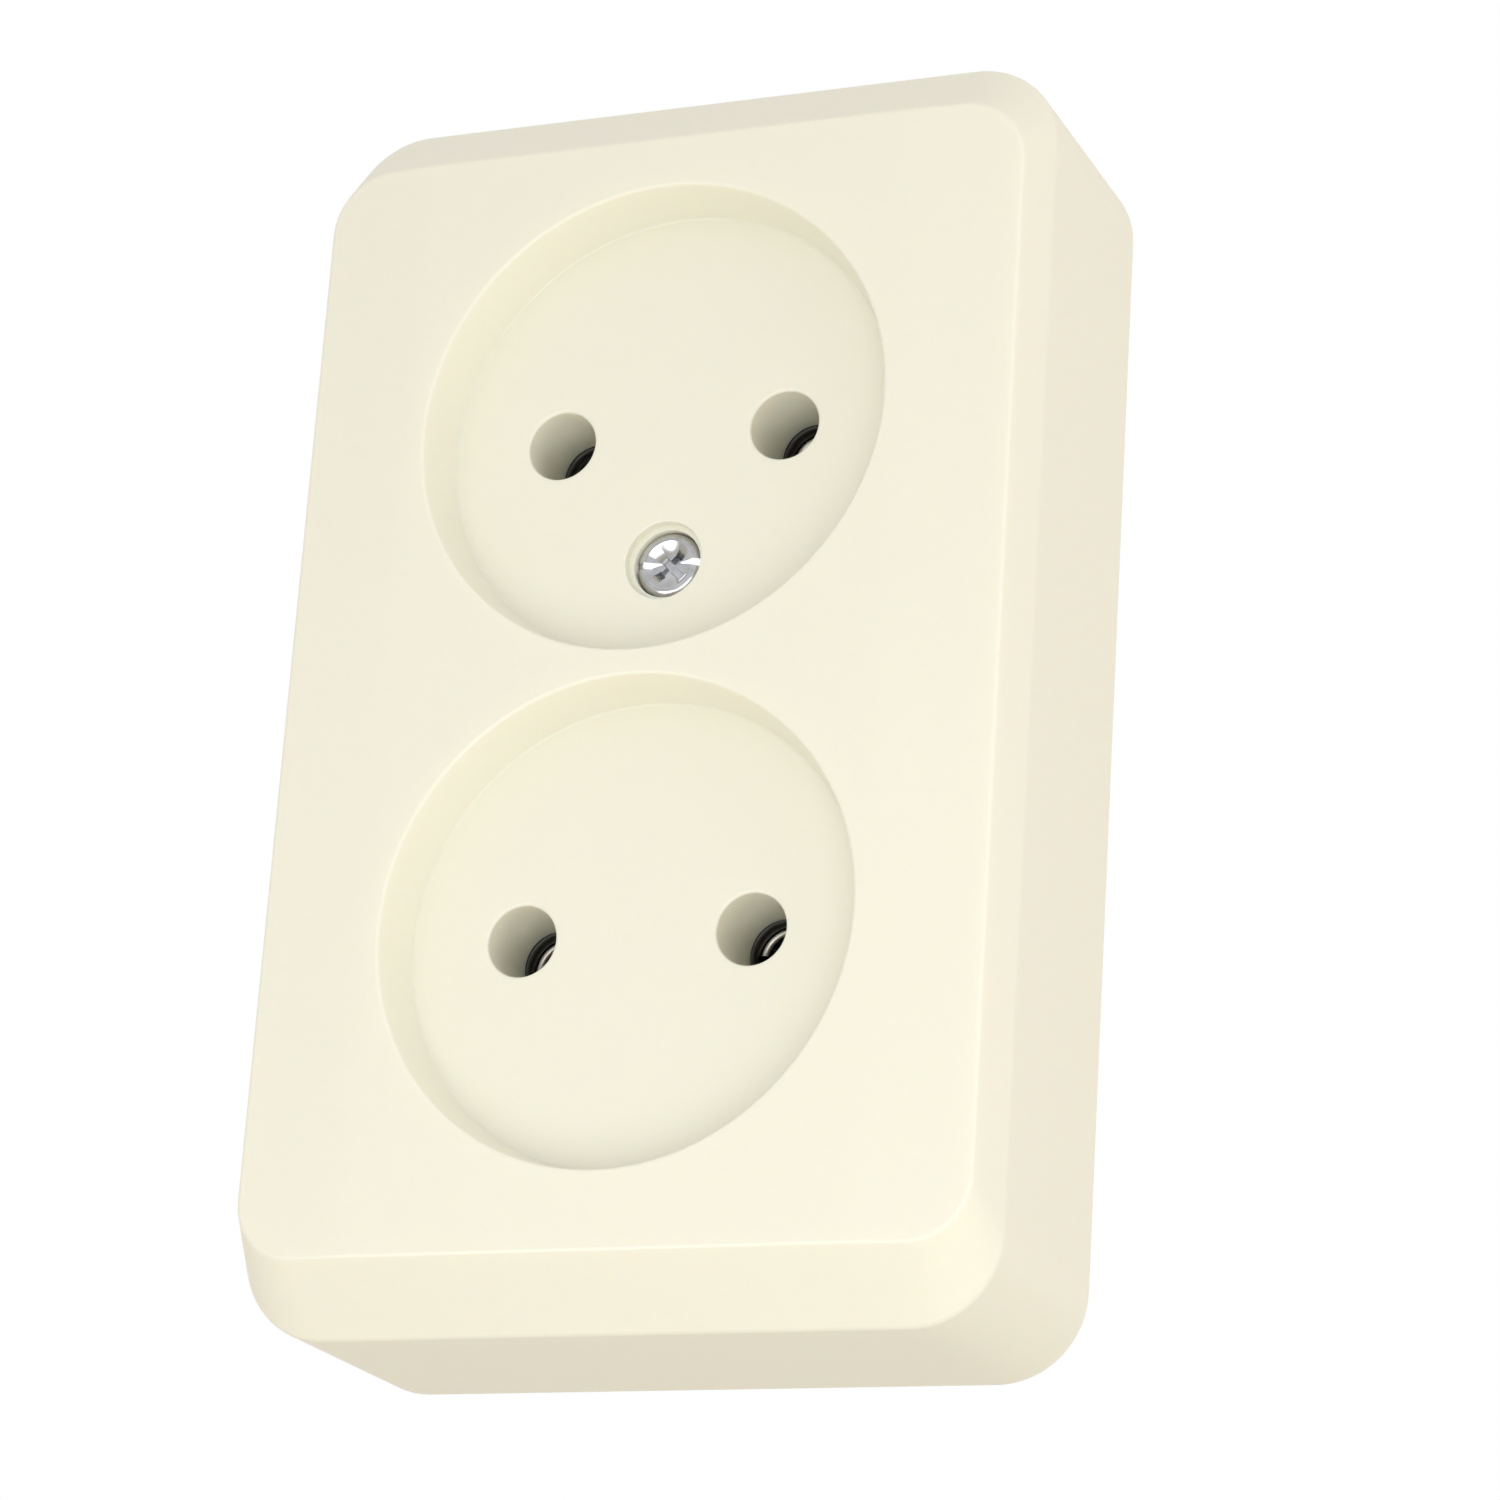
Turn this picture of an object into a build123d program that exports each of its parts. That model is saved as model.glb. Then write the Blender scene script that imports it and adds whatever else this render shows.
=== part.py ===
"""Surface-mounted double socket outlet, two-pole, without earth contacts. Millimetres.

Frame: X to the right, Y into the wall, Z up. The back of the base is the plane Y = 0, and the
origin is the centre of that back. The front face of the cover is at Y = -overall_depth.
"""
from build123d import *
import os

# ---------------------------------------------------------------- driving dimensions
# Cover, outside
cover_width = 61.6
cover_height = 101.0
overall_depth = 25.5
corner_radius = 7.0
bevel_side = 1.1
bevel_end = 5.3
bevel_depth = 5.0
face_corner_radius = 5.0
face_edge_round = 0.45
margin_slope_drop = 0.5
centre_strip_half_width = 20.0

# Cover, shell
cover_wall = 2.0
cover_front_wall = 2.1
cover_rib = 1.4
cavity_corner_radius = 2.5

# Sockets: two recesses, one above the other
socket_pitch = 41.1
socket_mid_height = 0.95
recess_radius = 19.45
recess_depth = 4.6
recess_edge_round = 0.3
recess_wall = 1.5
recess_floor = 2.0
pin_pitch = 19.0
pin_entry_radius = 2.85
pin_entry_edge_round = 0.25
guide_wall = 1.4
guide_length = 7.0
pin_length = 19.0

# Cover screw, M3, and what holds it captive
cover_screw_drop = 10.5
counterbore_radius = 3.2
counterbore_depth = 0.85
screw_head_sink = 1.0
screw_head_radius = 2.65
screw_head_height = 1.8
screw_shank_radius = 1.5
screw_thread_length = 13.9
head_recess_radius = 2.8
shoulder_thickness = 1.2
boss_wall = 1.5
washer_radius = 3.0
washer_thickness = 0.8
screw_travel = 5.0

# Base
flange_inset = 0.8
flange_thickness = 1.0
base_floor = 1.5
base_rim_wall = 1.6
base_rim_height = 5.5
pillar_wall = 1.6
insert_radius = 2.5
insert_length = 6.0
insert_groove_places = (1.8, 3.9)
insert_groove_width = 0.7
insert_groove_depth = 0.4
fixing_pitch = 74.0
fixing_slot_radius = 2.2
fixing_slot_length = 9.0
fixing_pad_width = 15.0
fixing_pad_height = 18.0
fixing_pad_thickness = 1.5
fixing_pad_radius = 2.0
cable_entry_width = 16.0
cable_entry_height = 10.0
cable_entry_drop = 6.5
cable_entry_radius = 2.0
cable_lip_wall = 1.2
cable_lip_height = 1.5
strip_seat_width = 4.8
strip_seat_length = 24.7

# Contact carriers
carrier_half_height = 6.2
carrier_web_front = 7.0
carrier_tower_wall = 1.2
carrier_mouth_wall = 1.0
carrier_mouth_radius = 2.6
carrier_corner_radius = 1.5
carrier_screw_radius = 1.25
carrier_screw_head_radius = 2.5
carrier_screw_head_height = 1.8
carrier_boss_radius = 2.6
carrier_boss_height = 3.0
carrier_hole_floor = 0.3
carrier_tip_gap = 0.15
fence_thickness = 1.2
fence_height = 2.0
fence_share = 0.8

# Contact sleeves, their springs, and the strips that join them
sleeve_bore_radius = 2.0
sleeve_wall = 0.7
sleeve_slit = 0.9
sleeve_leaf_slot = 0.7
sleeve_leaf_share = 0.62
sleeve_mouth_bevel = 0.49
lug_width = 5.5
lug_thickness = 0.8
lug_margin = 0.6
spring_wall = 0.5
spring_length = 3.2
spring_gap = 2.0
spring_setback = 1.0
pocket_clearance = 0.35
strip_gap = 0.3
strip_width = 6.0
strip_thickness = 1.0
strip_overhang = 3.2
strip_lift = 1.0
strip_corner_radius = 1.0
rivet_radius = 1.2
rivet_head_radius = 2.0
rivet_head_height = 0.8
rivet_tail_radius = 1.7
rivet_tail_height = 0.6

# Terminals
terminal_width = 8.0
terminal_length = 19.0
terminal_thickness = 3.2
terminal_screw_pitch = 9.0
terminal_screw_radius = 1.75
terminal_head_radius = 3.0
terminal_head_height = 2.2
terminal_spigot_radius = 1.5
terminal_spigot_inset = 0.3
terminal_corner_radius = 0.8
terminal_tip_gap = 0.4
clamp_length = 7.6
clamp_thickness = 1.2
clamp_tab_thickness = 0.8
clamp_tab_width = 5.0
clamp_travel = 2.0
clamp_tab_overlap = 0.5
clamp_bridge_gap = 0.2

# Clearances
seat_gap = 0.2
side_gap = 0.35
thread_gap = 0.05
running_gap = 0.05
hole_gap = 0.25
locating_gap = 0.15
cut_past = 1.0

# Drive recess, as shares of the screw head
drive_reach_share = 0.62
drive_slot_share = 0.28
drive_depth_share = 0.6
head_dome_share = 0.4
tip_round_share = 0.3

# ---------------------------------------------------------------- places that follow
y_face = -overall_depth
y_bevel = y_face + bevel_depth
y_cover_rear = -flange_thickness
y_floor = y_face + recess_depth
y_floor_back = y_floor + recess_floor
y_guide_end = y_floor + guide_length
y_base_floor = -base_floor
y_carrier_front = y_guide_end + seat_gap
y_pocket_front = y_carrier_front + carrier_mouth_wall
y_strip_back = y_base_floor - strip_lift
y_strip_front = y_strip_back - strip_thickness
y_lug_front = y_strip_front - lug_thickness
y_sleeve_front = y_pocket_front + locating_gap
y_terminal_front = y_strip_front - terminal_thickness
y_clamp_front = y_terminal_front - clamp_thickness
y_counterbore = y_floor + counterbore_depth
y_head_top = y_floor + screw_head_sink
y_head_seat = y_head_top + screw_head_height
y_shoulder_back = y_head_seat + shoulder_thickness
y_washer_front = y_shoulder_back + screw_travel + locating_gap
y_washer_back = y_washer_front + washer_thickness
y_boss_end = y_washer_back + washer_thickness
y_pillar_front = y_boss_end + seat_gap
y_screw_tip = y_head_seat + screw_thread_length
y_rim_front = y_base_floor - base_rim_height
y_boss_front = y_base_floor - carrier_boss_height

socket_heights = {
    "upper": socket_mid_height + socket_pitch / 2,
    "lower": socket_mid_height - socket_pitch / 2,
}
cover_screw_height = socket_heights["upper"] - cover_screw_drop
sides = {"left": -1, "right": 1}
pin_offset = pin_pitch / 2
sleeve_radius = sleeve_bore_radius + sleeve_wall
spring_bore_radius = sleeve_radius + running_gap
spring_radius = spring_bore_radius + spring_wall
pocket_radius = spring_radius + pocket_clearance
tower_radius = pocket_radius + carrier_tower_wall
carrier_half_width = pin_offset + tower_radius
strip_x = carrier_half_width + strip_gap + strip_width / 2
base_width = cover_width - 2 * (cover_wall + side_gap)
base_height = cover_height - 2 * (cover_wall + side_gap)
base_radius = corner_radius - cover_wall - side_gap
washer_pocket_radius = washer_radius + locating_gap
pillar_radius = insert_radius + pillar_wall


# ---------------------------------------------------------------- helpers
def facing(y):
    """Plane at depth y that looks out of the wall; its local axes are X and Z."""
    return Plane(origin=(0, y, 0), x_dir=(1, 0, 0), z_dir=(0, -1, 0))


def prism(outline, y_back, y_front, x=0.0, z=0.0):
    """Solid with the given outline, standing from y_back forward to y_front."""
    return extrude(facing(y_back) * Pos(x, z) * outline, amount=y_back - y_front)


def disc(radius, y_back, y_front, x=0.0, z=0.0):
    """Round prism between two depths."""
    return prism(Circle(radius), y_back, y_front, x, z)


def block(width, height, y_back, y_front, x=0.0, z=0.0):
    """Rectangular prism between two depths."""
    return prism(Rectangle(width, height), y_back, y_front, x, z)


def slot_outline(length, radius):
    """Upright slot with round ends, of the given end-to-end length."""
    return Rot(0, 0, 90) * SlotOverall(length, 2 * radius)


def frustum(radius_back, radius_front, y_back, y_front, x=0.0, z=0.0):
    """Cone stretch between two depths."""
    back = facing(y_back) * Pos(x, z) * Circle(radius_back)
    front = facing(y_front) * Pos(x, z) * Circle(radius_front)
    return loft([back, front], ruled=True)


def round_edges_at(part, y, radius, amount):
    """Round every circular edge of one radius that lies at one depth."""
    chosen = [
        edge for edge in part.edges().filter_by(GeomType.CIRCLE)
        if abs(edge.radius - radius) < 1e-4 and abs(edge.arc_center.Y - y) < 1e-4
    ]
    return fillet(chosen, amount)


def drive_recess(y_top, depth, reach, slot_width, x=0.0, z=0.0):
    """Cutter for a combined straight slot and cross recess in a screw head."""
    bottom = y_top + depth
    above = y_top - cut_past
    cutter = block(4 * reach, slot_width, y_top + depth / 2, above, x, z)
    for angle in (45, 135):
        arm = Rot(0, 0, angle) * Rectangle(1.5 * reach, slot_width)
        cutter += prism(arm, bottom, above, x, z)
    return cutter + frustum(0.35 * reach, 0.5 * reach, bottom, above, x, z)


def pan_screw(head_radius, head_height, shank_radius, y_seat, y_tip, x=0.0, z=0.0):
    """Screw with a domed head seated at y_seat and a slot and cross recess."""
    y_top = y_seat - head_height
    head = disc(head_radius, y_seat, y_top, x, z)
    head = round_edges_at(head, y_top, head_radius, head_dome_share * head_height)
    shank = disc(shank_radius, y_tip, y_seat, x, z)
    shank = round_edges_at(shank, y_tip, shank_radius, tip_round_share * shank_radius)
    return head + shank - drive_recess(
        y_top, drive_depth_share * head_height, drive_reach_share * head_radius,
        drive_slot_share * head_radius, x, z,
    )


# ---------------------------------------------------------------- front cover
def cover_block():
    """Solid outside of the cover: straight sides, a bevel, and a face with sloped margins."""
    foot = RectangleRounded(cover_width, cover_height, corner_radius)
    face = RectangleRounded(
        cover_width - 2 * bevel_side, cover_height - 2 * bevel_end, face_corner_radius
    )
    solid = prism(foot, y_cover_rear, y_bevel)
    solid += loft([facing(y_bevel) * foot, facing(y_face) * face], ruled=True)
    face_half = cover_width / 2 - bevel_side
    slope = margin_slope_drop / (face_half - centre_strip_half_width)
    outer = cover_width
    for side in sides.values():
        wedge = Polygon(
            (side * centre_strip_half_width, y_face),
            (side * centre_strip_half_width, y_face - cut_past),
            (side * outer, y_face - cut_past),
            (side * outer, y_face + slope * (outer - centre_strip_half_width)),
            align=None,
        )
        solid -= extrude(wedge, amount=cover_height, both=True)
    return solid


def cover_cavity():
    """Hollow inside the cover, one wall smaller all round."""
    width = cover_width - 2 * cover_wall
    height = cover_height - 2 * cover_wall
    radius = corner_radius - cover_wall
    foot = RectangleRounded(width, height, radius)
    top = RectangleRounded(width - 2 * bevel_side, height - 2 * bevel_end, cavity_corner_radius)
    y_turn = y_bevel + 0.5 * cover_wall
    y_top = y_face + cover_front_wall
    hollow = prism(foot, y_cover_rear + cut_past, y_turn)
    return hollow + loft([facing(y_turn) * foot, facing(y_top) * top], ruled=True)


def face_rim_edges(part):
    """Edges round the front face, where it meets the bevel."""
    y_limit = y_face + margin_slope_drop + seat_gap
    chosen = []
    for edge in part.edges():
        points = [edge.position_at(share) for share in (0, 0.5, 1)]
        in_face = all(point.Y < y_limit for point in points)
        at_side = abs(points[1].X) > cover_width / 2 - bevel_side - face_corner_radius
        at_end = abs(points[1].Z) > cover_height / 2 - bevel_end - face_corner_radius
        if in_face and (at_side or at_end):
            chosen.append(edge)
    return chosen


def front_cover():
    """One moulding: shell, two recesses with their ribs, pin guides and the screw boss."""
    outside = cover_block()
    shell = fillet(face_rim_edges(outside), face_edge_round) - cover_cavity()
    y_in_wall = y_face + cover_front_wall / 2
    rib_length = cover_width - cover_wall
    for height in socket_heights.values():
        shell += disc(recess_radius + recess_wall, y_floor_back, y_in_wall, 0, height)
        shell += block(rib_length, cover_rib, y_floor_back, y_in_wall, 0, height)
        for side in sides.values():
            x = side * pin_offset
            shell += disc(pin_entry_radius + guide_wall, y_guide_end, y_floor_back, x, height)
    boss_radius = washer_pocket_radius + boss_wall
    shell += disc(boss_radius, y_boss_end, y_floor_back, 0, cover_screw_height)
    for height in socket_heights.values():
        shell -= disc(recess_radius, y_floor, y_face - cut_past, 0, height)
        for side in sides.values():
            x = side * pin_offset
            shell -= disc(pin_entry_radius, y_guide_end + cut_past, y_floor - cut_past, x, height)
    for radius, y_back, y_front in (
        (counterbore_radius, y_counterbore, y_floor - cut_past),
        (head_recess_radius, y_head_seat, y_floor - cut_past),
        (screw_shank_radius + hole_gap, y_boss_end + cut_past, y_floor),
        (washer_pocket_radius, y_boss_end + cut_past, y_shoulder_back),
    ):
        shell -= disc(radius, y_back, y_front, 0, cover_screw_height)
    shell = round_edges_at(shell, y_face, recess_radius, recess_edge_round)
    return round_edges_at(shell, y_floor, pin_entry_radius, pin_entry_edge_round)


# ---------------------------------------------------------------- base
def carrier_fences():
    """Low walls on the base that hold each contact carrier square."""
    length = 2 * fence_share * carrier_half_width
    offset = carrier_half_height + locating_gap + fence_thickness / 2
    y_top = y_base_floor - fence_height
    return [
        block(length, fence_thickness, y_base_floor, y_top, 0, height + step * offset)
        for height in socket_heights.values() for step in (-1, 1)
    ]


def base_tray():
    """Flat back with a flange for the cover to meet and a rim that fits inside the cover."""
    flange = RectangleRounded(
        cover_width - 2 * flange_inset, cover_height - 2 * flange_inset, corner_radius - flange_inset
    )
    outline = RectangleRounded(base_width, base_height, base_radius)
    inside = RectangleRounded(
        base_width - 2 * base_rim_wall, base_height - 2 * base_rim_wall, base_radius - base_rim_wall
    )
    tray = prism(flange, 0, -flange_thickness)
    tray += prism(outline, -flange_thickness / 2, y_rim_front)
    return tray - prism(inside, y_base_floor, y_rim_front - cut_past)


def mounting_base():
    """Base with the insert pillar, carrier bosses, strip seats, screw slots and cable entry."""
    base = base_tray()
    for fence in carrier_fences():
        base += fence
    base += disc(pillar_radius, y_base_floor, y_pillar_front, 0, cover_screw_height)
    y_pad = y_base_floor - fixing_pad_thickness
    pad = RectangleRounded(fixing_pad_width, fixing_pad_height, fixing_pad_radius)
    for step in (-1, 1):
        base += prism(pad, y_base_floor, y_pad, 0, step * fixing_pitch / 2)
    lip = RectangleRounded(
        cable_entry_width + 2 * cable_lip_wall, cable_entry_height + 2 * cable_lip_wall,
        cable_entry_radius + cable_lip_wall,
    )
    y_lip = y_base_floor - cable_lip_height
    base += prism(lip, y_base_floor, y_lip, 0, -cable_entry_drop)
    seat = Rectangle(strip_seat_width, strip_seat_length)
    for side in sides.values():
        base += prism(seat, y_base_floor, y_strip_back, side * strip_x, socket_mid_height)
    for height in socket_heights.values():
        base += disc(carrier_boss_radius, y_base_floor, y_boss_front, 0, height)
    return base - base_holes(y_lip, y_pad)


def base_holes(y_lip, y_pad):
    """Everything that is cut out of the base."""
    entry = RectangleRounded(cable_entry_width, cable_entry_height, cable_entry_radius)
    holes = [prism(entry, cut_past, y_lip - cut_past, 0, -cable_entry_drop)]
    slot = slot_outline(fixing_slot_length, fixing_slot_radius)
    for step in (-1, 1):
        holes.append(prism(slot, cut_past, y_pad - cut_past, 0, step * fixing_pitch / 2))
    y_past = y_rim_front - cut_past
    for height in socket_heights.values():
        y_end = y_base_floor - carrier_hole_floor
        holes.append(disc(carrier_screw_radius + thread_gap, y_end, y_past, 0, height))
    for side in sides.values():
        x = side * strip_x
        for z in terminal_heights().values():
            holes.append(disc(terminal_screw_radius + 2 * hole_gap, y_base_floor, y_past, x, z))
        spigot_hole = terminal_spigot_radius + 2 * hole_gap
        holes.append(disc(spigot_hole, y_base_floor, y_past, x, socket_mid_height))
    y_insert_end = y_pillar_front + insert_length
    y_past = y_pillar_front - cut_past
    holes.append(disc(insert_radius + thread_gap, y_insert_end, y_past, 0, cover_screw_height))
    holes.append(disc(screw_shank_radius + hole_gap, y_base_floor, y_past, 0, cover_screw_height))
    return holes


def cover_screw_insert():
    """Knurled brass bush in the pillar that the cover screw turns into."""
    y_back = y_pillar_front + insert_length
    bush = disc(insert_radius, y_back, y_pillar_front, 0, cover_screw_height)
    for place in insert_groove_places:
        y_front = y_pillar_front + place - insert_groove_width / 2
        y_rear = y_front + insert_groove_width
        ring = disc(insert_radius + cut_past, y_rear, y_front, 0, cover_screw_height)
        bush -= ring - disc(
            insert_radius - insert_groove_depth, y_rear, y_front, 0, cover_screw_height
        )
    return bush - disc(
        screw_shank_radius + thread_gap, y_back + cut_past, y_pillar_front - cut_past,
        0, cover_screw_height,
    )


# ---------------------------------------------------------------- contact carriers and contacts
def contact_carrier(height):
    """Insulating block with a tower round each contact sleeve."""
    rear = RectangleRounded(2 * carrier_half_width, 2 * carrier_half_height, carrier_corner_radius)
    carrier = prism(rear, y_base_floor, -carrier_web_front, 0, height)
    for side in sides.values():
        x = side * pin_offset
        carrier += disc(tower_radius, y_base_floor, y_carrier_front, x, height)
    for side in sides.values():
        x = side * pin_offset
        carrier -= disc(carrier_mouth_radius, y_base_floor, y_carrier_front - cut_past, x, height)
        carrier -= disc(pocket_radius, y_base_floor + cut_past, y_pocket_front, x, height)
        slot_width = tower_radius + cut_past
        carrier -= block(
            slot_width, lug_width + 2 * side_gap, y_base_floor + cut_past, y_lug_front - side_gap,
            x + side * slot_width / 2, height,
        )
    carrier -= disc(
        carrier_boss_radius + hole_gap, y_base_floor + cut_past, y_boss_front - seat_gap, 0, height
    )
    return carrier - disc(carrier_screw_radius + hole_gap, y_base_floor, y_carrier_front, 0, height)


def contact_sleeve(side, height):
    """Rolled brass sleeve with a slit, two sprung leaves and a riveting lug."""
    x = side * pin_offset
    y_leaf_end = y_sleeve_front + sleeve_leaf_share * (y_strip_front - y_sleeve_front)
    lug_reach = strip_x - pin_offset + rivet_head_radius + lug_margin
    sleeve = disc(sleeve_radius, y_strip_front, y_sleeve_front, x, height)
    sleeve += block(
        lug_reach, lug_width, y_strip_front, y_lug_front, x + side * lug_reach / 2, height
    )
    y_past, y_before = y_strip_front + cut_past, y_sleeve_front - cut_past
    sleeve -= disc(sleeve_bore_radius, y_past, y_before, x, height)
    sleeve -= frustum(
        sleeve_bore_radius, sleeve_bore_radius + 2 * sleeve_mouth_bevel,
        y_sleeve_front + sleeve_mouth_bevel, y_sleeve_front - sleeve_mouth_bevel, x, height,
    )
    sleeve -= block(
        2 * sleeve_radius, sleeve_slit, y_past, y_before, x - side * sleeve_radius, height
    )
    sleeve -= block(sleeve_leaf_slot, 4 * sleeve_radius, y_leaf_end, y_before, x, height)
    return sleeve - disc(
        rivet_radius + thread_gap, y_past, y_lug_front - cut_past, side * strip_x, height
    )


def contact_spring(side, height):
    """Open steel ring round the sleeve leaves."""
    x = side * pin_offset
    y_front = y_sleeve_front + spring_setback
    y_back = y_front + spring_length
    ring = disc(spring_radius, y_back, y_front, x, height)
    ring -= disc(spring_bore_radius, y_back, y_front, x, height)
    return ring - block(
        2 * spring_radius, spring_gap, y_back, y_front, x - side * spring_radius, height
    )


def contact_strip(side):
    """Brass strip that joins the two sleeves of one pole."""
    length = socket_pitch + 2 * strip_overhang
    outline = RectangleRounded(strip_width, length, strip_corner_radius)
    strip = prism(outline, y_strip_back, y_strip_front, side * strip_x, socket_mid_height)
    holes = [(rivet_radius + thread_gap, height) for height in socket_heights.values()]
    holes += [(terminal_screw_radius + hole_gap, z) for z in terminal_heights().values()]
    holes.append((terminal_spigot_radius + thread_gap, socket_mid_height))
    for radius, z in holes:
        strip -= disc(radius, y_strip_back, y_strip_front, side * strip_x, z)
    return strip


def contact_rivet(side, height):
    """Rivet with a domed head in front of the lug and a flat tail behind the strip."""
    x = side * strip_x
    y_head = y_lug_front - rivet_head_height
    y_tail = y_strip_back + rivet_tail_height
    head = disc(rivet_head_radius, y_lug_front, y_head, x, height)
    rivet = round_edges_at(head, y_head, rivet_head_radius, rivet_head_height / 2)
    rivet += disc(rivet_radius, y_tail, y_lug_front, x, height)
    return rivet + disc(rivet_tail_radius, y_tail, y_strip_back, x, height)


# ---------------------------------------------------------------- terminals
def terminal_heights():
    """Heights of the two terminal screws of one block."""
    return {
        "upper": socket_mid_height + terminal_screw_pitch / 2,
        "lower": socket_mid_height - terminal_screw_pitch / 2,
    }


def terminal_block(side):
    """Brass block with two threaded holes, staked to the strip by a spigot."""
    x = side * strip_x
    outline = RectangleRounded(terminal_width, terminal_length, terminal_corner_radius)
    body = prism(outline, y_strip_front, y_terminal_front, x, socket_mid_height)
    y_spigot_end = y_strip_back + terminal_spigot_inset
    body += disc(terminal_spigot_radius, y_spigot_end, y_strip_front, x, socket_mid_height)
    for z in terminal_heights().values():
        body -= disc(terminal_screw_radius + thread_gap, y_strip_front, y_terminal_front, x, z)
    return body


def clamp_plate(side, z):
    """Square washer under a terminal screw, with one tab that stops it turning."""
    x = side * strip_x
    plate = block(terminal_width, clamp_length, y_terminal_front, y_clamp_front, x, z)
    tab_x = x + side * (terminal_width / 2 + locating_gap + clamp_tab_thickness / 2)
    y_tab_end = y_terminal_front + clamp_travel + clamp_tab_overlap
    plate += block(clamp_tab_thickness, clamp_tab_width, y_tab_end, y_clamp_front, tab_x, z)
    y_bridge = y_terminal_front - clamp_bridge_gap
    bridge_x = x + side * terminal_width / 2
    bridge_width = 2 * locating_gap + clamp_tab_thickness
    plate += block(bridge_width, clamp_tab_width, y_bridge, y_clamp_front, bridge_x, z)
    return plate - disc(terminal_screw_radius + running_gap, y_tab_end, y_clamp_front, x, z)


def terminal_screw(side, z):
    """Screw through a clamp plate into its terminal block."""
    return pan_screw(
        terminal_head_radius, terminal_head_height, terminal_screw_radius,
        y_clamp_front, y_strip_back + terminal_tip_gap, side * strip_x, z,
    )


# ---------------------------------------------------------------- cover screw
def cover_screw():
    """Screw that holds the cover on."""
    return pan_screw(
        screw_head_radius, screw_head_height, screw_shank_radius,
        y_head_seat, y_screw_tip, 0, cover_screw_height,
    )


def screw_retaining_washer():
    """Washer on the shank that keeps the screw in the cover."""
    washer = disc(washer_radius, y_washer_back, y_washer_front, 0, cover_screw_height)
    return washer - disc(
        screw_shank_radius + running_gap, y_washer_back, y_washer_front, 0, cover_screw_height
    )


def carrier_screw(height):
    """Screw that holds one contact carrier on the base."""
    return pan_screw(
        carrier_screw_head_radius, carrier_screw_head_height, carrier_screw_radius,
        -carrier_web_front, y_base_floor - carrier_hole_floor - carrier_tip_gap, 0, height,
    )


# ---------------------------------------------------------------- assembly
def build_parts():
    """Every node of the outlet by name."""
    parts = {
        "front_cover": front_cover(),
        "mounting_base": mounting_base(),
        "cover_screw_insert": cover_screw_insert(),
        "cover_screw": cover_screw(),
        "screw_retaining_washer": screw_retaining_washer(),
    }
    for level, height in socket_heights.items():
        parts[level + "_contact_carrier"] = contact_carrier(height)
        for hand, side in sides.items():
            parts[f"{level}_{hand}_contact_sleeve"] = contact_sleeve(side, height)
            parts[f"{level}_{hand}_contact_spring"] = contact_spring(side, height)
    for hand, side in sides.items():
        parts[hand + "_contact_strip"] = contact_strip(side)
        parts[hand + "_terminal_block"] = terminal_block(side)
        for level, z in terminal_heights().items():
            parts[f"{hand}_{level}_clamp_plate"] = clamp_plate(side, z)
            parts[f"{hand}_{level}_terminal_screw"] = terminal_screw(side, z)
    parts["contact_rivets"] = Compound(children=[
        contact_rivet(side, height).solid()
        for side in sides.values() for height in socket_heights.values()
    ])
    parts["carrier_screws"] = Compound(children=[
        carrier_screw(height).solid() for height in socket_heights.values()
    ])
    return parts


def main():
    """Build the parts and write one STEP file for each."""
    os.makedirs("parts", exist_ok=True)
    behind_pin = -(y_floor + pin_length)
    print(f"space behind the tip of a {pin_length} mm pin: {behind_pin:.2f} mm")
    for name, part in build_parts().items():
        export_step(part, f"parts/{name}.step")


main()
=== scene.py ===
"""Looks of a surface-mounted double socket outlet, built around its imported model.

Every size below is in millimetres in the frame of the model: X to the right, Y into the wall,
Z up, with the origin at the centre of the back. Meshes are written out in metres.
"""
import logging
import math
from dataclasses import dataclass, field
from enum import Enum
from typing import Sequence

import bpy
from mathutils import Matrix, Vector


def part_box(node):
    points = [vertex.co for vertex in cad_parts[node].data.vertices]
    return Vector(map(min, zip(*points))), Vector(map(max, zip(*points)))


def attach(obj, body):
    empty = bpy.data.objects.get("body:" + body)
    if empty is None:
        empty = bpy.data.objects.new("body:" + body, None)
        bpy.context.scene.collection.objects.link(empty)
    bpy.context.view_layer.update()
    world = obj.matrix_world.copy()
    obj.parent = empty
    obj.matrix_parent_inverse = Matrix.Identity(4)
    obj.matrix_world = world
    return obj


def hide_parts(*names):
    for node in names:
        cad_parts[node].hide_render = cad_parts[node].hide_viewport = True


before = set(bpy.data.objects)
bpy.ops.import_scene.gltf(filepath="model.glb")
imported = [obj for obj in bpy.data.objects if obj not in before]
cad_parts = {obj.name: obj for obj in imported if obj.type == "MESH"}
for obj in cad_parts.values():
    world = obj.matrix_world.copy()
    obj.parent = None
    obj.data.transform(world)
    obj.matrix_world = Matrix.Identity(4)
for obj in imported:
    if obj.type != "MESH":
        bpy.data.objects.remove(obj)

log = logging.getLogger("outlet")

MM = 0.001
ARC_STEPS = 6
PAST = 1.0  # how far a cutter stands past the face that it opens
LAP = 0.5  # how far a solid runs into the one that it is united with
THREAD_DEPTH_SHARE = 0.55  # depth of a thread as a share of its pitch
RINGS_PER_TURN = 8
TIP_DEPTH = 1.6  # how deep a thread's tip chamfer starts, in thread depths
TIP_RISE = 0.6  # share of the pitch in which that chamfer rises by one thread depth
LEAST_RADIUS = 0.01  # of a rounded corner that is moved inward
FLAT_FACE_WEIGHT = 80

Point = tuple[float, float]
Section = list[tuple[float, float]]
Colour = tuple[float, float, float]


class Level(Enum):
    """The two sockets, and the two screws of a terminal block."""

    UPPER = "upper"
    LOWER = "lower"


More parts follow.
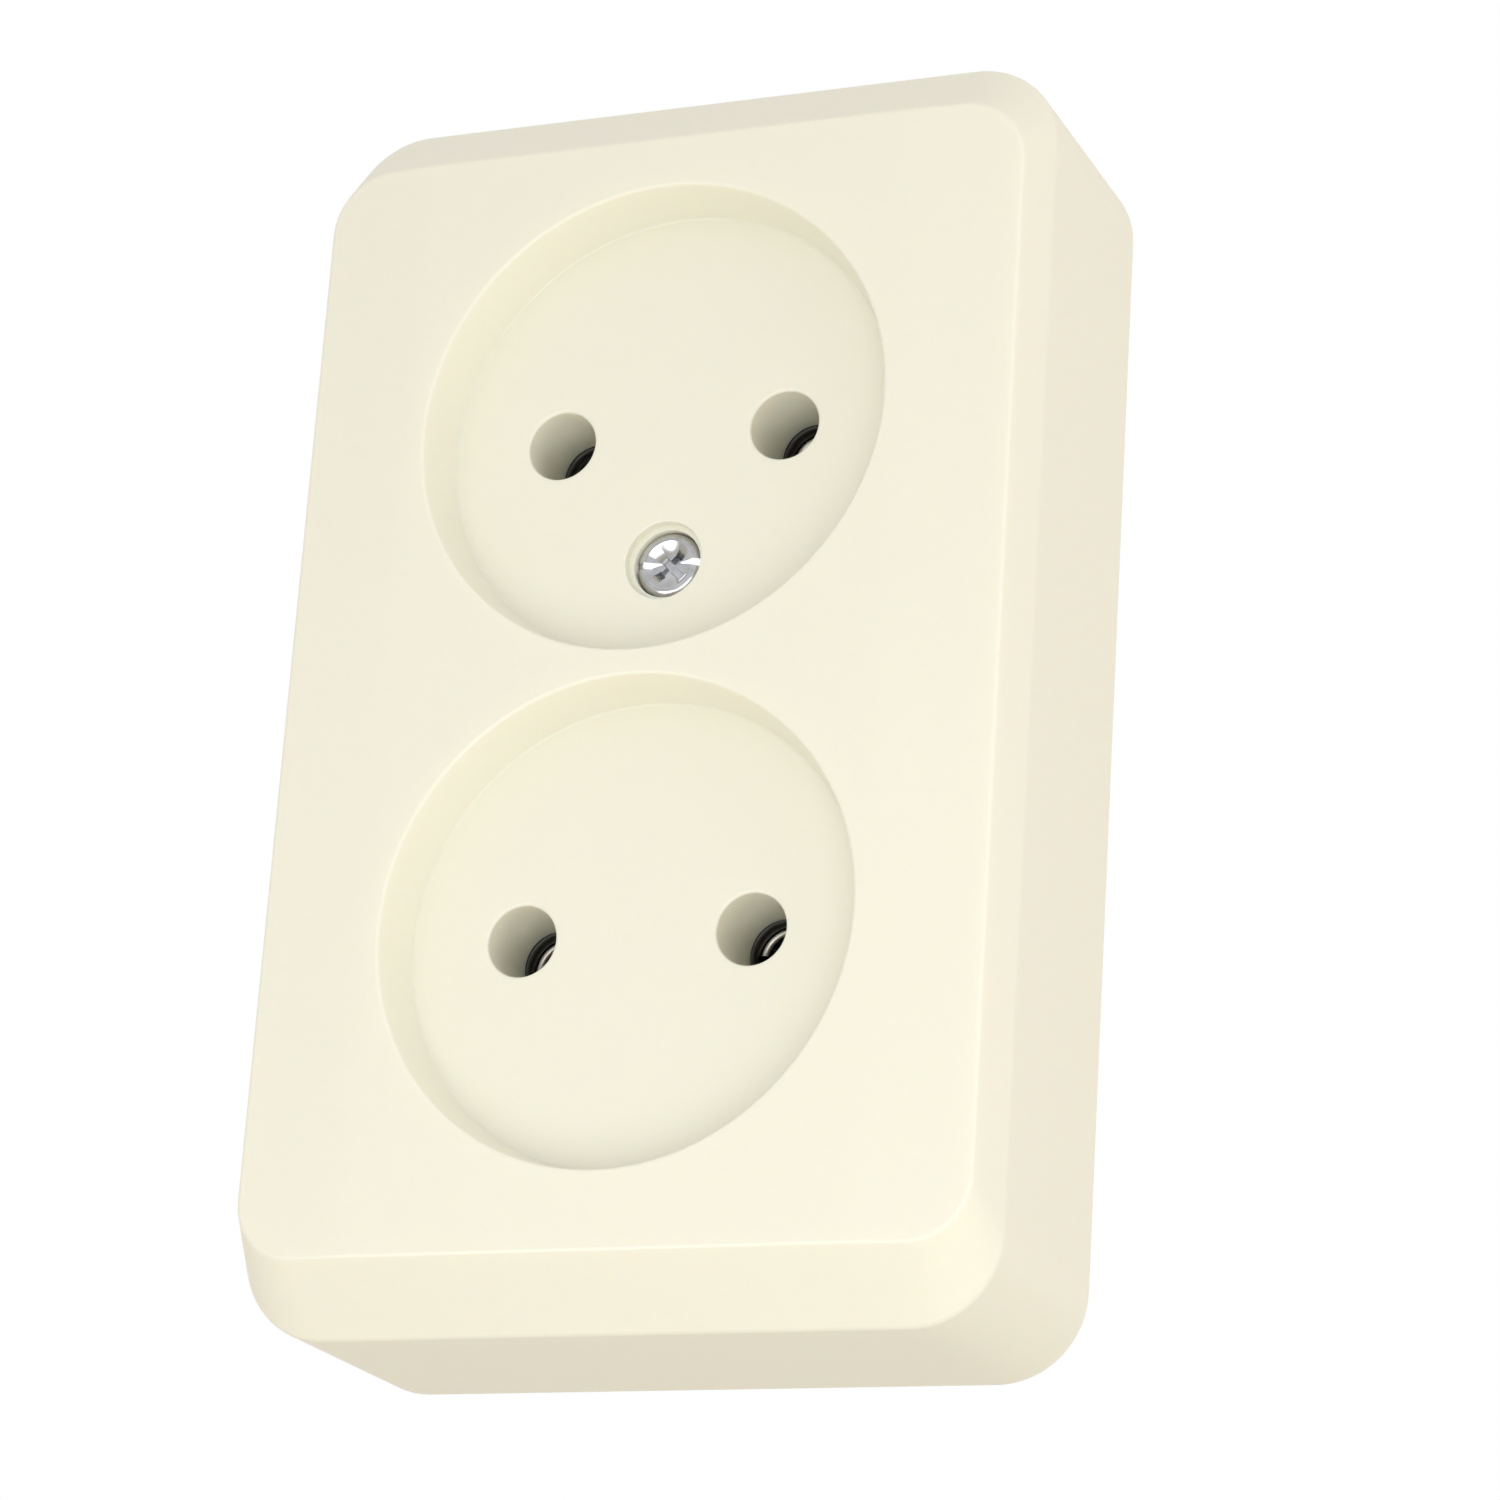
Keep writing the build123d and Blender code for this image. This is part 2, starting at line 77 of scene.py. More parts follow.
class Hand(Enum):
    """The two poles, as seen from the front."""

    LEFT = "left"
    RIGHT = "right"

    @property
    def sign(self) -> int:
        """Direction of this pole along X."""
        return -1 if self is Hand.LEFT else 1


class Slot(Enum):
    """Material slots of the record."""

    IVORY = "ivory_plastic"
    BASE = "base_plastic"
    BLACK = "black_thermoset"
    BRASS = "brass"
    NICKEL = "nickel_brass"
    SPRING = "spring_steel"
    STEEL = "plated_steel"
    FIBRE = "fibre_washer"


# ---------------------------------------------------------------- frame measures
@dataclass(frozen=True)
class Extent:
    """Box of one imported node, in millimetres."""

    low: Vector
    high: Vector

    @classmethod
    def of(cls, node: str) -> "Extent":
        """Box of the named node.

        Args:
            node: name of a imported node.

        Returns:
            Its lowest and highest corners in millimetres.
        """
        low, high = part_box(node)
        return cls(Vector(low) / MM, Vector(high) / MM)

    @property
    def size(self) -> Vector:
        """Width, depth and height."""
        return self.high - self.low

    @property
    def middle(self) -> Vector:
        """Centre of the box."""
        return (self.high + self.low) / 2


# ---------------------------------------------------------------- outlines
@dataclass(frozen=True)
class Disc:
    """Round outline."""

    radius: float
    x: float = 0.0
    z: float = 0.0
    steps: int = 96

    def ring(self, inset: float) -> list[Point]:
        """Points of the outline, moved inward.

        Args:
            inset: how far inward, or outward where negative.

        Returns:
            The points in order.
        """
        radius = self.radius - inset
        turn = 2 * math.pi / self.steps
        return [
            (self.x + radius * math.cos(i * turn), self.z + radius * math.sin(i * turn))
            for i in range(self.steps)
        ]


@dataclass(frozen=True)
class Slab:
    """Rectangular outline with round corners."""

    width: float
    height: float
    radius: float
    x: float = 0.0
    z: float = 0.0
    steps: int = 10

    def ring(self, inset: float) -> list[Point]:
        """Points of the outline, moved inward.

        Args:
            inset: how far inward, or outward where negative.

        Returns:
            The points in order.
        """
        radius = max(self.radius - inset, LEAST_RADIUS)
        reach_x = self.width / 2 - inset - radius
        reach_z = self.height / 2 - inset - radius
        points = []
        for corner, (sx, sz) in enumerate(((1, 1), (-1, 1), (-1, -1), (1, -1))):
            for i in range(self.steps + 1):
                angle = (corner + i / self.steps) * math.pi / 2
                points.append((
                    self.x + sx * reach_x + radius * math.cos(angle),
                    self.z + sz * reach_z + radius * math.sin(angle),
                ))
        return points


@dataclass(frozen=True)
class OpenRing:
    """Outline of a ring with a gap in it."""

    outer: float
    inner: float
    gap: float
    toward: float
    x: float = 0.0
    z: float = 0.0
    steps: int = 48

    def ring(self, inset: float) -> list[Point]:
        """Points of the outline, moved inward.

        Args:
            inset: how far inward, or outward where negative.

        Returns:
            The points in order, along the outside and back along the inside.
        """
        middle = (self.outer + self.inner) / 2
        half = math.asin((self.gap / 2 + inset) / middle)
        start = math.radians(self.toward) + half
        turn = (2 * math.pi - 2 * half) / self.steps
        angles = [start + i * turn for i in range(self.steps + 1)]
        lines = ((self.outer - inset, angles), (self.inner + inset, angles[::-1]))
        return [
            (self.x + radius * math.cos(angle), self.z + radius * math.sin(angle))
            for radius, line in lines for angle in line
        ]


@dataclass(frozen=True)
class Knurl:
    """Round outline with straight teeth."""

    radius: float
    depth: float
    teeth: int
    x: float = 0.0
    z: float = 0.0
    crest_share: float = 0.2
    root_shares: tuple[float, float] = (0.5, 0.7)

    def ring(self, inset: float) -> list[Point]:
        """Points of the outline, moved inward.

        Args:
            inset: how far inward, or outward where negative.

        Returns:
            The points in order, two on each crest and two in each root.
        """
        points = []
        crest, root = self.radius - inset, self.radius - inset - self.depth
        pitch = 2 * math.pi / self.teeth
        profile = [(0.0, crest), (self.crest_share, crest)] + [(share, root) for share in self.root_shares]
        for tooth in range(self.teeth):
            for share, radius in profile:
                angle = (tooth + share) * pitch
                points.append((self.x + radius * math.cos(angle), self.z + radius * math.sin(angle)))
        return points


@dataclass(frozen=True)
class Cross:
    """Four-armed outline."""

    reach: float
    width: float
    turn: float
    x: float = 0.0
    z: float = 0.0
    side_taper: float = 0.3

    def ring(self, inset: float) -> list[Point]:
        """Points of the outline, with the ends moved inward and the sides a share of that.

        Args:
            inset: how far inward, or outward where negative.

        Returns:
            The points in order.
        """
        reach, half = self.reach - inset, self.width / 2 - self.side_taper * inset
        points = []
        for arm in range(4):
            angle = math.radians(self.turn + 90 * arm)
            along, across = math.cos(angle), math.sin(angle)
            for out, side in ((reach, -half), (reach, half), (half, half)):
                points.append((self.x + out * along - side * across, self.z + out * across + side * along))
        return points


Outline = Disc | Slab | OpenRing | Knurl | Cross


# ---------------------------------------------------------------- sections through a solid's edge
def quarter(start: Point, corner: Point, end: Point) -> Section:
    """Quarter-round between two points.

    Args:
        start: first point, as (inset, depth).
        corner: where the two straight lines would meet.
        end: last point.

    Returns:
        Points of the round stretch, both ends included.
    """
    points = []
    for i in range(ARC_STEPS + 1):
        angle = i / ARC_STEPS * math.pi / 2
        along, across = 1 - math.cos(angle), 1 - math.sin(angle)
        points.append((
            corner[0] + (start[0] - corner[0]) * across + (end[0] - corner[0]) * along,
            corner[1] + (start[1] - corner[1]) * across + (end[1] - corner[1]) * along,
        ))
    return points


def body_section(back: float, front: float, front_round: float = 0.0, back_round: float = 0.0) -> Section:
    """Section of a prism whose end edges are rounded.

    Args:
        back: depth of the back end.
        front: depth of the front end, less than back.
        front_round: radius of the front edge.
        back_round: radius of the back edge.

    Returns:
        Pairs of inset and depth from back to front.
    """
    section: Section = [(0.0, back)]
    if back_round:
        section = quarter((back_round, back), (0.0, back), (0.0, back - back_round))
    if front_round:
        section += quarter((0.0, front + front_round), (0.0, front), (front_round, front))
    else:
        section.append((0.0, front))
    return section


def hole_section(deep: float, mouth: float, mouth_round: float, past: float = PAST) -> Section:
    """Section of a cutter whose mouth leaves a rounded edge.

    Args:
        deep: depth of the far end.
        mouth: depth of the face that it opens on, less than deep.
        mouth_round: radius of the mouth's edge.
        past: how far the cutter stands in front of the mouth.

    Returns:
        Pairs of inset and depth from far end to past the mouth.
    """
    section: Section = [(0.0, deep)]
    section += quarter((0.0, mouth + mouth_round), (0.0, mouth), (-mouth_round, mouth))
    section.append((-mouth_round, mouth - past))
    return section


# ---------------------------------------------------------------- solids
def object_from(name: str, points: Sequence[Sequence[float]],
                faces: Sequence[Sequence[int]]) -> bpy.types.Object:
    """Make an object from points in millimetres.

    Args:
        name: name of the object and its mesh.
        points: corners.
        faces: corner numbers of each face.

    Returns:
        The linked object.
    """
    mesh = bpy.data.meshes.new(name)
    mesh.from_pydata([tuple(value * MM for value in point) for point in points], [], faces)
    mesh.validate()
    thing = bpy.data.objects.new(name, mesh)
    bpy.context.scene.collection.objects.link(thing)
    return thing


def through_rings(name: str, rings: Sequence[Sequence[Sequence[float]]]) -> bpy.types.Object:
    """Closed solid through matched rings, the first at the back.

    Args:
        name: name of the object.
        rings: rings of corners, all with the same count, anticlockwise from the front.

    Returns:
        The linked object.
    """
    count = len(rings[0])
    points = [point for ring in rings for point in ring]
    faces = []
    for level in range(len(rings) - 1):
        for i in range(count):
            j = (i + 1) % count
            low, high = level * count, (level + 1) * count
            faces.append((low + i, low + j, high + j, high + i))
    faces.append(tuple(range(count - 1, -1, -1)))
    last = (len(rings) - 1) * count
    faces.append(tuple(last + i for i in range(count)))
    return object_from(name, points, faces)


def prism(outline: Outline, section: Section, name: str = "blank") -> bpy.types.Object:
    """Solid with one outline whose inset follows a section.

    Args:
        outline: outline seen from the front.
        section: pairs of inset and depth, from back to front.
        name: name of the object.

    Returns:
        The linked object.
    """
    rings = [[(x, depth, z) for x, z in outline.ring(inset)] for inset, depth in section]
    return through_rings(name, rings)


def turned(radius: float, back: float, front: float, x: float, z: float, front_round: float = 0.0,
           back_round: float = 0.0, steps: int = 64) -> bpy.types.Object:
    """Round solid whose end edges are rounded.

    Args:
        radius: radius of the solid.
        back: depth of the back end.
        front: depth of the front end.
        x: place of the axis across.
        z: height of the axis.
        front_round: radius of the front edge.
        back_round: radius of the back edge.
        steps: sides of the circle.

    Returns:
        The linked object.
    """
    return prism(Disc(radius, x, z, steps), body_section(back, front, front_round, back_round))


def through(outline: Outline, back: float, front: float, past: float = PAST) -> bpy.types.Object:
    """Cutter with straight sides that runs past both depths."""
    return prism(outline, [(0.0, back + past), (0.0, front - past)])


def threaded_rod(radius: float, pitch: float, tip: float, end: float, x: float, z: float,
                 steps: int = 40) -> bpy.types.Object:
    """Rod with a right-hand rolled thread and a chamfered tip.

    Args:
        radius: radius over the crests.
        pitch: distance between turns.
        tip: depth of the tip.
        end: depth of the front end, less than tip.
        x: place of the axis across.
        z: height of the axis.
        steps: sides of each ring.

    Returns:
        The linked object.
    """
    depth = THREAD_DEPTH_SHARE * pitch
    levels = round((tip - end) / pitch * RINGS_PER_TURN)
    rings = []
    for level in range(levels + 1):
        y = tip + (end - tip) * level / levels
        limit = radius - depth * max(0.0, TIP_DEPTH - (tip - y) / (TIP_RISE * pitch))
        ring = []
        for i in range(steps):
            phase = (y / pitch + i / steps) % 1.0
            # A triangle wave, stretched so that crest and root each stay flat for a seventh of the pitch.
            ridge = min(1.0, max(0.0, 1.4 * (1 - abs(2 * phase - 1)) - 0.2))
            reach = min(limit, radius - depth * (1 - ridge))
            angle = 2 * math.pi * i / steps
            ring.append((x + reach * math.cos(angle), y, z + reach * math.sin(angle)))
        rings.append(ring)
    return through_rings("thread", rings)


def combine(target: bpy.types.Object, tools: Sequence[bpy.types.Object], operation: str) -> bpy.types.Object:
    """Boolean of a solid with several others, which are used up.

    Args:
        target: solid that is changed.
        tools: solids to add or take away.
        operation: UNION or DIFFERENCE.

    Returns:
        The changed target.
    """
    for tool in tools:
        step = target.modifiers.new(operation.lower(), "BOOLEAN")
        step.operation, step.solver, step.object = operation, "EXACT", tool
        graph = bpy.context.evaluated_depsgraph_get()
        mesh = bpy.data.meshes.new_from_object(target.evaluated_get(graph))
        target.modifiers.clear()
        old, target.data = target.data, mesh
        bpy.data.meshes.remove(old)
        spent = tool.data
        bpy.data.objects.remove(tool)
        bpy.data.meshes.remove(spent)
    return target


def add(target: bpy.types.Object, *tools: bpy.types.Object) -> bpy.types.Object:
    """Unite solids with the target."""
    return combine(target, tools, "UNION")


def cut(target: bpy.types.Object, *tools: bpy.types.Object) -> bpy.types.Object:
    """Take solids away from the target."""
    return combine(target, tools, "DIFFERENCE")


def smooth(piece: bpy.types.Object, sharp_above: float = 32.0) -> None:
    """Shade a piece smooth, with sharp edges kept and flat faces flat.

    Args:
        piece: object to shade.
        sharp_above: angle in degrees above which an edge stays sharp.
    """
    piece.data.shade_smooth()
    piece.data.set_sharp_from_angle(angle=math.radians(sharp_above))
    weights = piece.modifiers.new("flat_faces_first", "WEIGHTED_NORMAL")
    weights.keep_sharp = True
    weights.weight = FLAT_FACE_WEIGHT


def place(piece: bpy.types.Object, name: str, body: str, slot: Slot, *nodes: str) -> None:
    """Name a piece, dress it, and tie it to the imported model.

    Args:
        piece: the finished mesh object.
        name: its name.
        body: body that it rides on.
        slot: material slot that it stands for, which gives its finish.
        nodes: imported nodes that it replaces.
    """
    piece.name = piece.data.name = name
    piece.data.materials.clear()
    piece.data.materials.append(FINISH_OF[slot].material())
    smooth(piece)
    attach(piece, body)
    if nodes:
        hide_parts(*nodes)
    log.info("%s: %d faces, rides on %s", name, len(piece.data.polygons), body)


# ---------------------------------------------------------------- finishes
@dataclass(frozen=True)
class Finish:
    """Surface of one material, with its own broad variation and grain, and edge wear where wear is set; on
    the plated steel the broad variation is painted reflection.
    """

    name: str
    colour: Colour
    shade: Colour
    edge: Colour = (1.0, 1.0, 1.0)
    roughness: tuple[float, float] = (0.3, 0.4)
    metallic: float = 0.0
    variation_scale: float = 60.0
    grain_scale: float = 2500.0
    grain_height: float = 0.004
    wear: float = 0.0
    edge_reach: float = 0.12
    edge_limits: tuple[float, float] = (0.99, 0.8)

    def material(self) -> bpy.types.Material:
        """The node material, made on first use."""
        made = bpy.data.materials.get(self.name)
        return made or self.make()

    def make(self) -> bpy.types.Material:
        """Build the node material.

        Returns:
            The new material.
        """
        material = bpy.data.materials.new(self.name)
        material.use_nodes = True
        tree = material.node_tree
        shader = tree.nodes["Principled BSDF"]
        shader.inputs["Metallic"].default_value = self.metallic
        place_of = tree.nodes.new("ShaderNodeTexCoord").outputs["Object"]
        broad = self.noise(tree, place_of, self.variation_scale, 4.0)
        fine = self.noise(tree, place_of, self.grain_scale, 3.0)
        # The broad noise blends colour and shade: random tone on most finishes, painted reflections on the
        # plated steel.
        body = self.mix(tree, broad, self.colour, self.shade)
        if self.wear:
            body = self.mix(tree, self.edge_mask(tree, fine), body, self.edge)
        tree.links.new(body, shader.inputs["Base Color"])
        rough = tree.nodes.new("ShaderNodeMapRange")
        rough.inputs["To Min"].default_value, rough.inputs["To Max"].default_value = self.roughness
        tree.links.new(fine, rough.inputs["Value"])
        tree.links.new(rough.outputs["Result"], shader.inputs["Roughness"])
        bump = tree.nodes.new("ShaderNodeBump")
        bump.inputs["Distance"].default_value = self.grain_height * MM
        tree.links.new(self.relief(tree, place_of, fine), bump.inputs["Height"])
        tree.links.new(bump.outputs["Normal"], shader.inputs["Normal"])
        self.tune(shader)
        return material

    def tune(self, shader: bpy.types.Node) -> None:
        """Set what this kind of finish needs on the shader's own sockets."""

    def relief(self, tree: bpy.types.NodeTree, place_of: bpy.types.NodeSocket,
               fine: bpy.types.NodeSocket) -> bpy.types.NodeSocket:
        """Height that the bump follows; the fine grain unless a finish says otherwise."""
        return fine

    @staticmethod
    def noise(tree: bpy.types.NodeTree, place_of: bpy.types.NodeSocket, scale: float,
              detail: float) -> bpy.types.NodeSocket:
        """Add a noise pattern.

        Args:
            tree: node tree to add to.
            place_of: coordinates.
            scale: cycles in a metre.
            detail: octaves.

        Returns:
            The pattern's value socket.
        """
        node = tree.nodes.new("ShaderNodeTexNoise")
        node.inputs["Scale"].default_value = scale
        node.inputs["Detail"].default_value = detail
        tree.links.new(place_of, node.inputs["Vector"])
        return node.outputs["Fac"]

    @staticmethod
    def mix(tree: bpy.types.NodeTree, factor: bpy.types.NodeSocket, first: "Colour | bpy.types.NodeSocket",
            second: Colour) -> bpy.types.NodeSocket:
        """Mix two colours by a factor.

        Args:
            tree: node tree to add to.
            factor: 0 for the first, 1 for the second.
            first: colour, or socket that gives one.
            second: colour.

        Returns:
            The mixed colour's socket.
        """
        node = tree.nodes.new("ShaderNodeMix")
        node.data_type = "RGBA"
        tree.links.new(factor, node.inputs["Factor"])
        if isinstance(first, bpy.types.NodeSocket):
            tree.links.new(first, node.inputs["A"])
        else:
            node.inputs["A"].default_value = (*first, 1.0)
        node.inputs["B"].default_value = (*second, 1.0)
        return node.outputs["Result"]

    def edge_mask(self, tree: bpy.types.NodeTree, fine: bpy.types.NodeSocket) -> bpy.types.NodeSocket:
        """Mask that is strongest along edges, broken up by the grain.

        Args:
            tree: node tree to add to.
            fine: grain pattern.

        Returns:
            The mask's socket.
        """
        shape = tree.nodes.new("ShaderNodeNewGeometry")
        rounded = tree.nodes.new("ShaderNodeBevel")
        rounded.samples = 4
        rounded.inputs["Radius"].default_value = self.edge_reach * MM
        agree = tree.nodes.new("ShaderNodeVectorMath")
        agree.operation = "DOT_PRODUCT"
        tree.links.new(shape.outputs["Normal"], agree.inputs[0])
        tree.links.new(rounded.outputs["Normal"], agree.inputs[1])
        ramp = tree.nodes.new("ShaderNodeMapRange")
        slight, full = self.edge_limits
        for socket, value in (("From Min", slight), ("From Max", full), ("To Max", self.wear)):
            ramp.inputs[socket].default_value = value
        tree.links.new(agree.outputs["Value"], ramp.inputs["Value"])
        product = tree.nodes.new("ShaderNodeMath")
        product.operation = "MULTIPLY"
        tree.links.new(ramp.outputs["Result"], product.inputs[0])
        tree.links.new(fine, product.inputs[1])
        return product.outputs["Value"]


@dataclass(frozen=True)
class MouldedPlastic(Finish):
    """Moulded plastic with a polished skin and a trace of light scattered below it."""

    specular: float = 0.5
    refraction: float = 1.5
    scatter: float = 0.0
    scatter_reach: float = 1.2
    scatter_tint: Colour = (1.0, 0.7, 0.5)

    def tune(self, shader: bpy.types.Node) -> None:
        """Set gloss and scatter.

        Args:
            shader: the material's shader node.
        """
        shader.inputs["IOR"].default_value = self.refraction
        shader.inputs["Specular IOR Level"].default_value = self.specular
        if self.scatter:
            shader.inputs["Subsurface Weight"].default_value = self.scatter
            shader.inputs["Subsurface Radius"].default_value = self.scatter_tint
            shader.inputs["Subsurface Scale"].default_value = self.scatter_reach * MM


@dataclass(frozen=True)
class Metal(Finish):
    """Bare or plated metal with fine drawn lines along one axis."""

    metallic: float = 1.0
    line_stretch: tuple[float, float, float] = (1.0, 1.0, 1.0)

    def relief(self, tree: bpy.types.NodeTree, place_of: bpy.types.NodeSocket,
               fine: bpy.types.NodeSocket) -> bpy.types.NodeSocket:
        """Drawn lines: the grain stretched along one axis.

        Args:
            tree: node tree to add to.
            place_of: coordinates.
            fine: grain pattern, which the lines replace.

        Returns:
            The pattern's value socket.
        """
        mapping = tree.nodes.new("ShaderNodeMapping")
        mapping.inputs["Scale"].default_value = self.line_stretch
        tree.links.new(place_of, mapping.inputs["Vector"])
        return self.noise(tree, mapping.outputs["Vector"], self.grain_scale, 2.0)


IVORY = MouldedPlastic(
    "ivory_moulding", colour=(0.868, 0.855, 0.736), shade=(0.858, 0.844, 0.722),
    roughness=(0.27, 0.30), variation_scale=45.0, grain_scale=900.0, grain_height=0.00025,
    scatter=0.35, scatter_reach=2.0,
)
BASE_PLASTIC = MouldedPlastic(
    "base_moulding", colour=(0.80, 0.785, 0.71), shade=(0.775, 0.757, 0.68),
    roughness=(0.44, 0.52), grain_scale=1100.0, grain_height=0.004,
)
BLACK = MouldedPlastic(
    "phenolic_black", colour=(0.020, 0.019, 0.018), shade=(0.034, 0.031, 0.028), edge=(0.14, 0.125, 0.11),
    roughness=(0.28, 0.42), grain_scale=1500.0, grain_height=0.004, wear=0.6,
)
BRASS = Metal(
    "stamped_brass", colour=(0.78, 0.58, 0.28), shade=(0.66, 0.47, 0.21), edge=(0.95, 0.79, 0.48),
    roughness=(0.24, 0.36), grain_scale=1400.0, grain_height=0.003, line_stretch=(1.0, 1.0, 0.06), wear=1.2,
)
# Darker than clean nickel: painted shade, the whole metal dimmed to stand in for the shade inside the pin
# holes where the sleeves show.
NICKEL = Metal(
    "nickelled_brass_dimmed_painted_shade", colour=(0.46, 0.44, 0.40), shade=(0.34, 0.325, 0.30), edge=(0.70, 0.68, 0.62),
    roughness=(0.2, 0.32), grain_scale=1500.0, grain_height=0.002, line_stretch=(1.0, 0.08, 1.0), wear=1.2,
)
SPRING = Metal(
    "blued_spring_steel", colour=(0.17, 0.19, 0.25), shade=(0.26, 0.22, 0.20), edge=(0.55, 0.55, 0.56),
    roughness=(0.24, 0.38), grain_scale=1500.0, grain_height=0.002, line_stretch=(1.0, 0.08, 1.0), wear=1.2,
)
# Bright colour mottled by the broad noise with a much darker shade: painted reflections of a dark surround,
# on every plated steel part.
STEEL = Metal(
    "zinc_plate_painted_reflections", colour=(0.84, 0.85, 0.87), shade=(0.30, 0.305, 0.33), edge=(0.94, 0.94, 0.93),
    roughness=(0.12, 0.22), variation_scale=620.0, grain_scale=1300.0, grain_height=0.0015, wear=0.8,
)
FIBRE = MouldedPlastic(
    "vulcanised_fibre", colour=(0.40, 0.10, 0.06), shade=(0.28, 0.065, 0.04), edge=(0.56, 0.25, 0.17),
    roughness=(0.55, 0.7), grain_scale=1200.0, grain_height=0.015, wear=1.0,
)
FINISH_OF = {
    Slot.IVORY: IVORY, Slot.BASE: BASE_PLASTIC, Slot.BLACK: BLACK, Slot.BRASS: BRASS,
    Slot.NICKEL: NICKEL, Slot.SPRING: SPRING, Slot.STEEL: STEEL, Slot.FIBRE: FIBRE,
}


# ---------------------------------------------------------------- studio
@dataclass
class Studio:
    """Floor, light and camera."""

    lamp_distance: float = 360.0
    floor_height: float = -420.0
    floor_reach: float = 6000.0
    sky_front: Colour = (0.765, 0.770, 0.775)
    sky_back: Colour = (0.90, 0.825, 0.745)
    key_power: float = 0.46
    key_direction: tuple[float, float, float] = (0.27, -0.84, -0.46)
    key_size: float = 300.0
    glint_power: float = 0.25
    glint_direction: tuple[float, float, float] = (-0.37, -0.85, -0.37)
    glint_size: float = 160.0
    fill_power: float = 0.18
    fill_direction: tuple[float, float, float] = (0.95, -0.25, 0.05)
    fill_size: float = 300.0
    camera_place: tuple[float, float, float] = (148.2, -348.5, -125.85)
    camera_yaw: float = 23.1
    camera_pitch: float = 18.7
    camera_roll: float = 3.84
    camera_lens: float = 118.2
    sensor_width: float = 36.0
    clip_metres: tuple[float, float] = (0.01, 20.0)

    def build(self) -> None:
        """Set up everything round the object."""
        self.floor()
        self.sky()
        self.lamp("key_light", self.key_direction, self.key_size, self.key_power)
        fill = self.lamp("side_fill", self.fill_direction, self.fill_size, self.fill_power)
        fill.visible_glossy = False
        glint = self.lamp("edge_glint", self.glint_direction, self.glint_size, self.glint_power)
        glint.visible_diffuse = False
        self.camera()
        bpy.context.scene.view_settings.view_transform = "Standard"

    def floor(self) -> None:
        """Plain pale floor, well below the object."""
        reach, height = self.floor_reach, self.floor_height
        corners = [(-reach, -reach, height), (reach, -reach, height), (reach, reach, height),
                   (-reach, reach, height)]
        floor = object_from("studio_floor", corners, [(0, 1, 2, 3)])
        pale = Finish(
            "pale_floor", colour=(0.86, 0.84, 0.78), shade=(0.84, 0.82, 0.76),
            roughness=(0.6, 0.7), variation_scale=2.0, grain_scale=400.0, grain_height=0.05,
        )
        floor.data.materials.append(pale.material())

    def sky(self) -> None:
        """Even surround, a little warmer behind the object and white where it is seen."""
        world = bpy.data.worlds.new("white_surround")
        bpy.context.scene.world = world
        world.use_nodes = True
        tree = world.node_tree
        tree.nodes.clear()
        out = tree.nodes.new("ShaderNodeOutputWorld")
        mixer = tree.nodes.new("ShaderNodeMixShader")
        path = tree.nodes.new("ShaderNodeLightPath")
        seen, lit = (tree.nodes.new("ShaderNodeBackground") for _ in range(2))
        seen.inputs["Color"].default_value = (1.0, 1.0, 1.0, 1.0)
        direction = tree.nodes.new("ShaderNodeTexCoord")
        split = tree.nodes.new("ShaderNodeSeparateXYZ")
        ramp = tree.nodes.new("ShaderNodeMapRange")
        ramp.inputs["From Min"].default_value = -1.0
        tree.links.new(direction.outputs["Generated"], split.inputs["Vector"])
        tree.links.new(split.outputs["Y"], ramp.inputs["Value"])
        shade = tree.nodes.new("ShaderNodeMix")
        shade.data_type = "RGBA"
        shade.inputs["A"].default_value = (*self.sky_front, 1.0)
        shade.inputs["B"].default_value = (*self.sky_back, 1.0)
        tree.links.new(ramp.outputs["Result"], shade.inputs["Factor"])
        tree.links.new(shade.outputs["Result"], lit.inputs["Color"])
        tree.links.new(path.outputs["Is Camera Ray"], mixer.inputs["Fac"])
        tree.links.new(lit.outputs["Background"], mixer.inputs[1])
        tree.links.new(seen.outputs["Background"], mixer.inputs[2])
        tree.links.new(mixer.outputs["Shader"], out.inputs["Surface"])

    def lamp(self, name: str, direction: tuple[float, float, float], size: float,
             power: float) -> bpy.types.Object:
        """Round soft light that faces the object.

        Args:
            name: name of the light.
            direction: where it stands, as seen from the object.
            size: diameter.
            power: watts.

        Returns:
            The light's object.
        """
        data = bpy.data.lights.new(name, "AREA")
        data.shape, data.size, data.energy = "DISK", size * MM, power
        thing = bpy.data.objects.new(name, data)
        toward = Vector(direction).normalized()
        thing.location = toward * self.lamp_distance * MM
        thing.rotation_euler = toward.to_track_quat("Z", "Y").to_euler()
        thing.visible_camera = False
        bpy.context.scene.collection.objects.link(thing)
        return thing

    def camera(self) -> None:
        """Camera low on the right, looking up and to the left."""
        data = bpy.data.cameras.new("camera")
        data.lens, data.sensor_width = self.camera_lens, self.sensor_width
        data.clip_start, data.clip_end = self.clip_metres
        thing = bpy.data.objects.new("camera", data)
        thing.matrix_world = (
            Matrix.Translation(Vector(self.camera_place) * MM)
            @ Matrix.Rotation(math.radians(self.camera_yaw), 4, "Z")
            @ Matrix.Rotation(math.radians(90.0 + self.camera_pitch), 4, "X")
            @ Matrix.Rotation(math.radians(self.camera_roll), 4, "Z")
        )
        bpy.context.scene.collection.objects.link(thing)
        bpy.context.scene.camera = thing


# ---------------------------------------------------------------- sockets
@dataclass
class SocketLayout:
    """Where the sockets, the pins and the cover screw are."""

    pin_offset: float = 9.5
    screw: Extent = field(default_factory=lambda: Extent.of("cover_screw"))

    def height(self, level: Level) -> float:
        """Height of the socket's centre, from its contact carrier."""
        return Extent.of(f"{level.value}_contact_carrier").middle.z

    @property
    def screw_height(self) -> float:
        """Height of the cover screw's axis."""
        return self.screw.middle.z


